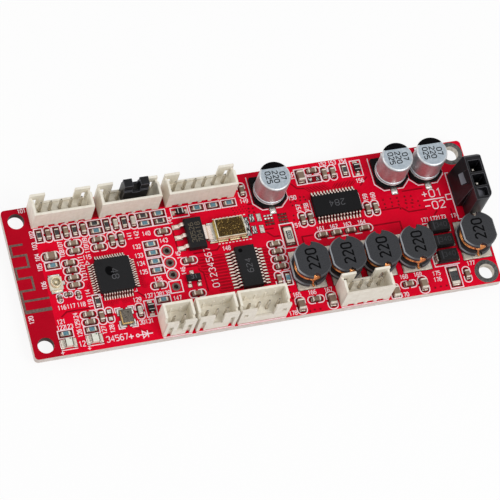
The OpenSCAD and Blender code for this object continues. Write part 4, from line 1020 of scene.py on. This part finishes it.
# Plated rings of the two mounting holes at the power end
rings = Shape()
MOUNT_X, MOUNT_Y = HALF_L - 2.6, HALF_W - 2.6
MOUNT_R, RING_R = 1.6, 2.45
for sy in (-1, 1):
    rings.lathe(MOUNT_X, sy * MOUNT_Y, [
        (MOUNT_R - 0.04, PAD_UNDER), (MOUNT_R - 0.04, PAD_TOP), (RING_R, PAD_TOP), (RING_R, TOP),
        (MOUNT_R, TOP), (MOUNT_R, UNDER), (RING_R, UNDER), (RING_R, PAD_UNDER),
    ], 48)
rings.piece("mount_rings", RING, smooth=40)

# Bare antenna track at the left end
antenna = Shape(3)
ANTENNA_W = 0.42
MEANDER = [(-44.4, 8.1), (-46.9, 8.1), (-46.9, 5.85), (-44.2, 5.85), (-44.2, 3.35), (-46.9, 3.35),
           (-46.9, 1.15), (-44.2, 1.15), (-44.2, -1.45), (-46.9, -1.45), (-46.9, -5.9)]
antenna.trace(MEANDER, ANTENNA_W, PAD_T)
antenna.trace([(-46.7, -3.55), (-41.75, -3.55)], ANTENNA_W, PAD_T)
antenna.trace([(-47.05, -5.8), (-41.75, -5.8)], 0.72, PAD_T)
antenna.piece("antenna_track", DULL_TIN)

# Tracks under the mask: each is a ridge between two gaps in the copper
gaps = Shape(4)
ridges = Shape(4)
draw = random.Random(SEED)


def track(points, width, gap, via):
    gaps.trace(points, width + 2 * gap, GAP_T)
    ridges.trace(points, width, TRACE_T)
    if via:
        crest = TOP + TRACE_T
        ridges.lathe(*points[-1], [(0.12, TOP), (0.32, TOP), (0.3, crest + 0.006), (0.14, crest)], 14)


def fan(name, out, first, bend, last, gap):
    """Tracks that leave a chip's leads and fan out from the middle of each side."""
    boxes = islands(name)
    cx, cy = mean_middle(boxes)
    for low, high in boxes:
        at = Vector(middle(low, high))
        dx, dy = high[0] - low[0], high[1] - low[1]
        way = Vector((math.copysign(1, at.x - cx), 0))
        side = Vector((0, math.copysign(1, at.y - cy)))
        if dx <= dy:
            way, side = side, way
        start = at + way * (max(dx, dy) / 2 + out)
        knee = start + way * first
        turned = knee + (way + side) * bend
        end = turned + way * last * draw.uniform(0.4, 1.0)
        track([start - way * 0.2, knee, turned, end], 0.2, gap, draw.random() < 0.3)


fan("controller_leads", 0.2, 0.25, 0.35, 0.8, 0.07)
fan("amplifier_leads", 0.2, 0.2, 1.0, 0.3, 0.13)
# Tracks from both sides of the audio chip: those on the left run straight and end one after another
audio_x = middle(*box_mm("audio_chip"))[0]
for row, (low, high) in enumerate(islands("audio_chip_leads")):
    y = middle(low, high)[1]
    if low[0] < audio_x:
        end_x = low[0] - 2.6 - 0.35 * row
        track([(low[0] - 0.3, y), (end_x, y), (end_x - 0.35, y + 0.3)], 0.24, 0.2, row % 4 == 0)
    else:
        track([(high[0] + 0.3, y), (high[0] + 1.5, y)], 0.24, 0.18, False)
# Edges of the copper areas
EDGES = [
    [(9.9, -1.2), (9.9, 0.45), (12.2, 0.45)], [(24.6, 0.35), (30.2, 0.35), (30.2, -2.2)],
    [(27.2, 3.3), (31.2, 3.3), (32.6, 2.05), (36.4, 2.05)], [(32.4, 6.6), (36.8, 6.6)],
    [(38.4, 1.4), (37.5, 0.5)], [(24.4, 9.2), (26.2, 10.9)], [(10.6, 11.9), (11.6, 10.7), (13.4, 10.4)],
    [(-40.4, -7.9), (-39.2, -7.0), (-34.6, -7.0)], [(-25.0, -5.2), (-23.6, -6.6)],
    [(-14.4, -1.9), (-12.2, -1.9)], [(-11.9, -1.2), (-11.9, -3.0), (-11.2, -3.7), (-11.2, -7.6)],
    [(-12.2, 0.6), (-7.4, 0.6), (-6.6, 1.4)], [(-16.0, 7.2), (-15.0, 6.2), (-15.0, 1.4)],
    [(0.9, 9.0), (1.9, 9.0)], [(3.2, 2.6), (4.4, 1.4), (5.6, 1.4)], [(3.0, 3.2), (4.8, 3.2)],
    [(41.2, 1.4), (41.2, -1.0)],
]
edges = Shape(3)
for points in EDGES:
    edges.trace(points, 0.3, EDGE_T)
edges.piece("copper_edges", EDGE_RED)
# Run of parallel tracks
for i in range(5):
    x, y = -27.0 + i * 0.45, -12.6 - 0.2 * i
    track([(x, y), (x + 1.2, y - 0.4)], 0.14, 0.1, False)
# Vias, small rings with a dark middle: the first of a field, their number and pitch along X and Y
VIA_FIELDS = [
    (28.2, 5.3, 5, 3, 1.45, 0.75), (31.0, 3.9, 4, 2, 1.35, 0.9), (9.7, 8.8, 4, 3, 0.95, 0.8),
    (9.3, 5.1, 1, 4, 1.0, 0.95), (4.6, -9.6, 1, 3, 1.0, 1.1), (33.4, -14.6, 3, 1, 1.2, 1.0),
    (14.6, -2.4, 2, 1, 7.2, 1.0), (0.9, 8.0, 2, 2, 0.9, 0.7), (7.4, -15.0, 3, 1, 1.1, 1.0),
]
VIA_TOP = TOP + 0.018
VIA_STRAY = 0.12
holes = Shape()
for x0, y0, nx, ny, px, py in VIA_FIELDS:
    for i in range(nx):
        for k in range(ny):
            x = x0 + i * px + draw.uniform(-VIA_STRAY, VIA_STRAY)
            y = y0 - k * py + draw.uniform(-VIA_STRAY, VIA_STRAY)
            ridges.lathe(x, y, [(0.13, TOP), (0.36, TOP), (0.33, TOP + 0.02), (0.15, TOP + 0.012)], 14)
            holes.disc(x, y, 0.17, TOP, VIA_TOP, 12)
# Smaller ones beside the fuse
for i in range(5):
    for k in range(3):
        holes.disc(-2.4 + i * 0.62 + k * 0.2, 8.7 - k * 0.5, 0.1, TOP, VIA_TOP, 12)
# Tracks on the underside, inwards from the pins
POWER_X = 40
under_gaps = Shape()
under_ridges = Shape()
for x, y in sorted(middle(*box) for box in islands("solder_joints")):
    run = draw.uniform(2.0, 6.0)
    last = run + 1 + draw.uniform(0.5, 2.0)
    path = [(0.8, 0), (run, 0), (run + 1, 1), (last, 1)]
    if x > POWER_X:
        points = moved(path, x, y, 180)
    elif y > 0:
        points = moved(path, x, y, -90)
    else:
        points = [(px, -py) for px, py in moved(path, x, -y, -90)]
    under_gaps.ribbon(points, 0.8, UNDER - GAP_T, UNDER)
    under_ridges.ribbon(points, 0.4, UNDER - TRACE_T, UNDER)
    ring = [(0.12, UNDER), (0.36, UNDER), (0.33, UNDER - 0.02), (0.15, UNDER - 0.012)]
    under_ridges.lathe(*points[-1], ring, 14)
gaps.piece("copper_gaps", BARE_RED)
ridges.piece("covered_tracks", RIDGE_RED, smooth=50)
holes.piece("via_holes", VIA_RED)
under_gaps.piece("copper_gaps_below", BARE_RED)
under_ridges.piece("covered_tracks_below", RIDGE_RED, smooth=50)

# Printed marks: strokes of the figures on a grid 4 wide and 6 high
DIGITS = {
    "0": [[(0, 1), (0, 5), (1, 6), (3, 6), (4, 5), (4, 1), (3, 0), (1, 0), (0, 1)]],
    "1": [[(0.8, 4.8), (2.2, 6), (2.2, 0)]],
    "2": [[(0, 5), (1, 6), (3, 6), (4, 5), (4, 4), (0, 0), (4, 0)]],
    "3": [[(0, 5.2), (1, 6), (3, 6), (4, 5), (4, 4.2), (3, 3.2), (4, 2.2), (4, 1), (3, 0), (1, 0),
           (0, 0.8)]],
    "4": [[(3, 0), (3, 6), (0, 2)], [(0, 2), (4, 2)]],
    "5": [[(4, 6), (0, 6), (0, 3.5), (3, 3.5), (4, 2.5), (4, 1), (3, 0), (0, 0)]],
    "6": [[(3.6, 6), (1.6, 6), (0, 4.2), (0, 1), (1, 0), (3, 0), (4, 1), (4, 2.5), (3, 3.5), (0.4, 3.5)]],
    "7": [[(0, 6), (4, 6), (1.6, 0)]],
    "8": [[(1, 3.2), (0, 4.2), (0, 5), (1, 6), (3, 6), (4, 5), (4, 4.2), (3, 3.2)],
          [(1, 3.2), (0, 2.2), (0, 1), (1, 0), (3, 0), (4, 1), (4, 2.2), (3, 3.2), (1, 3.2)]],
    "9": [[(0.4, 0), (2.4, 0), (4, 1.8), (4, 5), (3, 6), (1, 6), (0, 5), (0, 3.5), (1, 2.5), (3.6, 2.5)]],
    "+": [[(0, 3), (4, 3)], [(2, 1), (2, 5)]],
    "-": [[(0, 3), (4, 3)]],
}
FIGURE_W, FIGURE_H = 4, 6
ADVANCE = 5.8


def number(shape, text, x, y, height, turn, stroke, base, squeeze=1.0, thick=MARK_T):
    """Plain figures on a face at the height base, centred on a point."""
    unit = height / FIGURE_H
    total = ADVANCE * (len(text) - 1) + FIGURE_W
    for i, figure in enumerate(text):
        shift = i * ADVANCE - total / 2
        for stretch in DIGITS[figure]:
            points = [((px + shift) * unit * squeeze, (py - FIGURE_H / 2) * unit) for px, py in stretch]
            shape.ribbon(moved(points, x, y, turn), stroke, base, base + thick)


ink = Shape(40)
LINE_W = 0.19


def line(points, closed=False, width=LINE_W):
    ink.trace(kept(points), width, INK_T, closed)


def printed(text, x, y, height, stroke, turn=0, squeeze=1.0):
    number(ink, text, x, y, height, turn, stroke, TOP, squeeze, INK_T)


def pill(x, y, length, width, turn, gap=0.5):
    """Round-ended outline with a gap in the middle of each long side."""
    r = width * 0.42
    for s in (-1, 1):
        arc = [(s * gap / 2, width / 2)]
        for k in range(9):
            a = math.pi / 2 - math.pi * k / 8
            arc.append((s * (length / 2 - r + r * math.cos(a)), width / 2 * math.sin(a)))
        arc.append((s * gap / 2, -width / 2))
        line(moved(arc, x, y, turn))


# Middles of the four chips in one outline
JOINED = [(14.1 + 2.9 * i, 0.1) for i in range(4)]
for square, x, y, length, width, height, along in CHIPS:
    if length > 3 or any(abs(x - jx) < 0.3 and abs(y - jy) < 0.3 for jx, jy in JOINED):
        continue
    if square:
        line(box_outline(x, y, length + 1.35, width + 0.78, along), closed=True)
    elif length > 1.2:
        pill(x, y, length + 1.75, width + 0.72, along)
    else:
        pill(x, y, length + 0.9, width + 0.6, along, 0.3)
for low, high in islands("signal_diodes"):
    wide = high[0] - low[0] > high[1] - low[1]
    line(box_outline(*middle(low, high), 3.4, 2.1, 0 if wide else 90), closed=True)
# Long outline round the row of four chips
line([(12.9, 0.85), (13.4, 0.95), (23.7, 0.95), (24.2, 0.75), (24.45, 0.3), (24.45, -0.1), (24.2, -0.55),
      (23.7, -0.75)])
line([(12.9, 0.85), (12.5, 0.4), (12.5, -0.2), (12.9, -0.65), (13.5, -0.75)])
for x in (15.55, 18.45, 21.35):
    line([(x - 0.7, -0.75), (x + 0.7, -0.75)])
for i in (1, 2, 3):
    at = middle(*box_mm("can_base_%d" % i))
    for s in (-1, 1):
        line(moved([(s * 3.6, 3.9), (s * 3.6, -1.9), (s * 2.0, -3.5), (s * 0.8, -3.5)], *at))
# At the power connector and the diodes
line([(42.9, 9.0), (42.2, 9.0), (42.2, -1.2), (42.9, -1.2)])
line([(42.1, 4.4), (41.0, 4.4), (41.0, 3.3), (42.1, 3.3)])
line([(36.2, 3.9), (40.6, 3.9)], width=0.22)
printed("+01", 38.3, 5.2, 1.6, LINE_W)
printed("-02", 38.3, 2.6, 1.6, LINE_W)
line([(36.1, -4.1), (39.7, -4.1)])
line([(35.2, -7.3), (39.7, -7.3)])
line([(34.6, -7.6), (34.6, -10.4), (39.7, -10.4)])
line([(34.5, -1.05), (36.0, -1.05)])
line([(36.5, -10.7), (39.1, -10.7), (39.1, -15.4), (36.5, -15.4)], closed=True)
# Round the large resistor, the crystal, the fuse, the chips and the empty places
LARGE_CHIP = (7.35, 1.1)
line(box_outline(*LARGE_CHIP, 2.7, 5.2), closed=True)
for sx, sy in CORNERS:
    line(moved([(sx * 1.85, sy * 1.2), (sx * 1.85, sy * 2.15), (sx * 0.7, sy * 2.15)], crystal_x, crystal_y))
for y in (7.0, 1.7):
    for k in range(10):
        line([(-6.8 + k * 0.7, y), (-6.4 + k * 0.7, y)])
line([(-33.4, 1.9), (-32.6, 1.9), (-33.0, 2.6)], closed=True, width=0.12)
for sx, sy in ((-1, -1), (1, -1), (1, 1)):
    corner = [(sx * 3.75, sy * 3.2), (sx * 3.75, sy * 3.75), (sx * 3.2, sy * 3.75)]
    line(moved(corner, -28.6, -1.4), width=0.14)
line([(13.3, 4.2), (13.3, 7.8)], width=0.14)
line([(23.5, 4.2), (23.5, 7.8)], width=0.14)
pill(*LEFT_GAP, 3.3, 1.5, 90)
line(box_outline(*FAR_GAP, 3.0, 1.5), closed=True)
for spot in SPARE[:3]:
    line(circle(*spot, 1.22, 28), closed=True)
line(box_outline(*SPARE[3], 2.45, 2.45), closed=True)
for x, y in LAMPS:
    line([(x - 1.6, y - 1.2), (x + 1.6, y - 1.2)], width=0.16)
# Polarity marks at the lamps and the sign of a lamp
for x in (-41.8, -36.6):
    printed("+", x, -15.05, 0.95, 0.15)
printed("+", -28.2, -14.1, 1.4, 0.22)
line(circle(-26.9, -14.1, 0.28, 12), closed=True)
line([(-26.6, -14.1), (-23.9, -14.1)])
line([(-25.9, -13.4), (-25.9, -14.8), (-24.9, -14.1)], closed=True)
line([(-24.9, -13.4), (-24.9, -14.8)])
# Plain reference numbers: place and turn
LABELS = [
    (-43.1, 15.0, 0), (-42.2, 9.7, 90), (-42.2, 7.3, 90), (-42.2, 4.9, 90), (-42.2, 2.8, 90),
    (-42.2, -1.0, 90), (-37.3, 6.6, 90), (-37.3, 4.9, 90), (-32.4, 6.6, 90), (-32.4, 5.0, 90),
    (-34.1, 3.0, 90), (-34.1, 1.2, 90), (-34.1, -0.6, 90), (-34.3, -4.0, 90), (-32.8, 3.4, 0),
    (-39.9, -6.0, 0), (-38.1, -6.0, 0), (-36.1, -6.0, 0), (-34.3, -6.1, 90), (-46.2, -7.5, 90),
    (-40.7, -8.8, 0), (-41.0, -10.0, 0), (-39.5, -10.0, 0), (-37.7, -8.3, 90), (-37.7, -9.9, 90),
    (-37.7, -11.7, 90), (-33.0, -11.9, 90), (-31.4, -11.9, 90), (-25.3, -6.9, 0), (-25.7, -11.6, 0),
    (-24.0, -11.6, 0), (-22.8, 3.9, 0), (-22.8, 2.0, 0), (-22.8, 0.3, 0), (-22.7, -1.5, 0),
    (-20.3, -3.4, 0), (-22.9, -6.5, 0), (-21.1, -6.5, 0), (-19.4, -6.5, 0), (-20.3, 6.3, 0),
    (-23.6, 6.3, 90), (-22.2, 6.3, 90), (-17.3, 4.3, 0), (-15.1, 8.2, 90), (-15.1, 0.8, 90),
    (-15.0, -2.6, 90), (-17.5, -7.9, 0), (-5.5, 0.6, 0), (0.4, 9.8, 0), (10.1, 8.9, 0), (9.4, 3.0, 0),
    (18.0, 15.0, 0), (20.0, 15.0, 0), (22.2, 15.0, 0), (11.4, 13.5, 90), (24.6, 10.3, 0),
    (10.8, 6.5, 90), (12.4, 6.5, 90), (24.7, 6.5, 90), (26.3, 6.5, 90), (14.0, 1.5, 0), (16.7, 1.5, 0),
    (19.5, 1.5, 0), (22.5, 1.5, 0), (5.7, -11.3, 0), (8.8, -11.3, 0), (12.1, -11.3, 0),
    (27.7, -11.3, 0), (30.6, -11.3, 0), (26.9, -15.0, 0), (35.3, -0.2, 0), (37.2, -0.2, 0),
    (38.9, -0.2, 0), (41.6, -0.3, 0), (34.4, -11.7, 0), (34.3, -13.0, 0), (41.9, -10.8, 0),
    (4.0, -14.9, 0),
]
for i, (x, y, turn) in enumerate(LABELS):
    printed(str(101 + i), x, y, 0.82, 0.14, turn, 0.72)
printed("12", -37.75, -13.9, 1.05, 0.15, squeeze=0.7)
printed("34567", -30.9, -13.9, 1.15, 0.15, squeeze=0.8)
printed("01234567", -9.4, -2.8, 1.25, 0.14, 90, 0.9)
# Line in front of each header at the near edge
for i in range(4, 8):
    low, high = box_mm("header_%d" % i)
    line([(low.x + 0.1, 0.1 - HALF_W), (high.x - 0.1, 0.1 - HALF_W)])
ink.piece("printed_marks", INK)

# Marks on the parts
black_marks = Shape()
grey_marks = Shape()
pale_marks = Shape()
warm_marks = Shape()
faint_marks = Shape()
green_marks = Shape()
for i in range(1, 6):
    low, high = box_mm("drum_%d" % i)
    cx, cy = middle(low, high)
    number(black_marks, "220", cx - 0.05, cy + 0.1, 2.0, 90, 0.33, high.z, 0.8)
# A dark segment on each can, over its rounded edge, and three numbers
CAN_ROUND = 0.45
BAND_Y = 1.65
for i in (1, 2, 3):
    low, high = box_mm("can_%d" % i)
    cx, cy = middle(low, high)
    top = high.z
    flat_r = (high.x - low.x) / 2 - CAN_ROUND
    start = math.degrees(math.asin(BAND_Y / flat_r))
    angles = [math.radians(start + (180 - 2 * start) * k / 16) for k in range(17)]
    band = [(cx + flat_r * math.cos(a), cy + flat_r * math.sin(a)) for a in angles]
    black_marks.prism(band, top, top + MARK_T)
    bend = [math.radians(10 * k) for k in range(9)]
    profile = []
    for reach, angles in ((CAN_ROUND + MARK_T, bend), (CAN_ROUND - 0.02, bend[::-1])):
        profile += [(flat_r + reach * math.sin(a), top - CAN_ROUND + reach * math.cos(a)) for a in angles]
    black_marks.lathe(cx, cy, profile, 24, start, 180 - start)
    for text, shift in (("07", 1.5), ("220", 0.05), ("025", -1.4)):
        number(black_marks, text, cx + shift, cy - 0.2, 1.0, -90, 0.18, top, 0.95)
# Numbers on the chips: node, shape, figures, shift along X, turn and height
CHIP_TEXT = [
    ("controller", grey_marks, "48", 0.0, -90, 1.3), ("audio_chip", grey_marks, "624", 0.0, 90, 1.1),
    ("amplifier", grey_marks, "284", 0.0, 180, 1.2), ("regulator", warm_marks, "70418", 0.7, 90, 0.9),
    ("regulator", warm_marks, "30526", -0.6, 90, 0.9), ("transistor", grey_marks, "31", 0.0, 0, 0.7),
]
for name, shape, text, shift, turn, height in CHIP_TEXT:
    low, high = box_mm(name)
    x, y = middle(low, high)
    number(shape, text, x + shift, y, height, turn, 0.13, high.z)
# Dark floor of the dimple beside the first lead
low, high = box_mm("audio_chip")
black_marks.disc(low.x + 1.02, high.y - 1.02, 0.42, high.z - 0.08, high.z - 0.07, 20)
# Polished spot beside the controller's number
low, high = box_mm("controller")
x, y = middle(low, high)
spot = [(px * 0.85, py * 1.05) for px, py in circle(0, 0, 1, 28)]
black_marks.prism(moved(spot, x - 0.85, y + 0.65, 20), high.z, high.z + 0.006)
for x, y, low, high in solids("power_diodes"):
    number(faint_marks, "340", x + 0.2, y, 0.9, 0, 0.12, high[2])
    faint_marks.prism(box_outline(low[0] + 0.75, y, 0.25, 1.7), high[2], high[2] + MARK_T)
for low, high in islands("signal_diodes"):
    turn = 0 if high[0] - low[0] > high[1] - low[1] else 90
    for shift, width in ((0.42, 0.2), (-0.5, 0.12)):
        stripe = moved(box_outline(shift, 0, width, 1.1), *middle(low, high), turn)
        pale_marks.prism(stripe, high[2], high[2] + MARK_T)
number(pale_marks, "002", *LARGE_CHIP, 0.55, 90, 0.1, box_mm("black_coats")[1].z)
# Green dot on each lamp
for low, high in islands("lamp_lenses"):
    green_marks.disc(middle(low, high)[0] + 0.3, high[1] - 0.2, 0.14, high[2], high[2] + MARK_T, 14)
green_marks.piece("lamp_dots", MARK_GREEN)
faint_marks.piece("diode_numbers", MARK_FAINT)
black_marks.piece("black_print", MARK_BLACK)
grey_marks.piece("chip_numbers", MARK_GREY)
pale_marks.piece("pale_print", MARK_PALE)
warm_marks.piece("regulator_numbers", MARK_WARM)

# Floor, light and camera
FLOOR = 4.0
FLOOR_GLOW = 0.9
DIFFUSE_LIGHT = 0.56


def shader(tree, kind, grey, **inputs):
    made = tree.nodes.new(kind)
    made.inputs["Color"].default_value = (grey, grey, grey, 1)
    for key, value in inputs.items():
        made.inputs[key].default_value = value
    return made


def split_light(tree, output, other, direct, share):
    """Rays from the camera, mirrors and glass get a share of one shader, and all else gets the other."""
    path = tree.nodes.new("ShaderNodeLightPath").outputs
    seen = path["Is Camera Ray"]
    for ray in ("Is Glossy Ray", "Is Transmission Ray"):
        either = tree.nodes.new("ShaderNodeMath")
        either.operation = "MAXIMUM"
        tree.links.new(seen, either.inputs[0])
        tree.links.new(path[ray], either.inputs[1])
        seen = either.outputs[0]
    part = tree.nodes.new("ShaderNodeMath")
    part.operation = "MULTIPLY"
    part.inputs[1].default_value = share
    tree.links.new(seen, part.inputs[0])
    blend = tree.nodes.new("ShaderNodeMixShader")
    for i, source in enumerate((part, other, direct)):
        tree.links.new(source.outputs[0], blend.inputs[i])
    tree.links.new(blend.outputs[0], tree.nodes.new(output).inputs["Surface"])


floor_mesh = bpy.data.meshes.new("floor")
corners = [(*corner, 0) for corner in box_outline(0, 0, 2 * FLOOR, 2 * FLOOR)]
floor_mesh.from_pydata(corners, [], [[0, 1, 2, 3]])
floor = bpy.data.objects.new("floor", floor_mesh)
bpy.context.scene.collection.objects.link(floor)
floor_paint = bpy.data.materials.new("pale_floor")
floor_paint.use_nodes = True
floor_mesh.materials.append(floor_paint)
tree = floor_paint.node_tree
tree.nodes.clear()
matte = shader(tree, "ShaderNodeBsdfDiffuse", 0.9)
glow = shader(tree, "ShaderNodeEmission", 1.0)
split_light(tree, "ShaderNodeOutputMaterial", matte, glow, FLOOR_GLOW)

world = bpy.data.worlds.new("studio")
bpy.context.scene.world = world
world.use_nodes = True
tree = world.node_tree
tree.nodes.clear()
plain = shader(tree, "ShaderNodeBackground", 1.0, Strength=DIFFUSE_LIGHT)
white = shader(tree, "ShaderNodeBackground", 1.0, Strength=1.0)
split_light(tree, "ShaderNodeOutputWorld", plain, white, 1.0)


def softbox(name, at, size, power):
    """A square lamp that faces the board."""
    lamp = bpy.data.lights.new(name, "AREA")
    lamp.size = size
    lamp.energy = power
    obj = bpy.data.objects.new(name, lamp)
    bpy.context.scene.collection.objects.link(obj)
    obj.location = at
    obj.rotation_euler = (-Vector(at)).to_track_quat("-Z", "Y").to_euler()


softbox("front_softbox", (0.2, -0.34, 0.5), 0.35, 1.75)
softbox("left_softbox", (-0.5, 0.14, 0.2), 0.25, 0.6)

# Camera: its right, down and forward directions, its place and its lens
RIGHT = Vector((0.95127, -0.24731, 0.18420))
DOWN = Vector((-0.15496, -0.89980, -0.40785))
AHEAD = Vector((0.26661, 0.35943, -0.89428))
CAMERA_AT = Vector((-148.23, -199.01, 493.80 + TOP)) * MM
LENS = 205.18
camera = bpy.data.objects.new("camera", bpy.data.cameras.new("camera"))
bpy.context.scene.collection.objects.link(camera)
turn = Matrix((RIGHT, -DOWN, -AHEAD)).transposed().to_4x4()
camera.matrix_world = Matrix.Translation(CAMERA_AT) @ turn
camera.data.sensor_width = 36
camera.data.lens = LENS
camera.data.clip_start = 0.01
camera.data.clip_end = 20
bpy.context.scene.camera = camera
bpy.context.scene.view_settings.view_transform = "Standard"
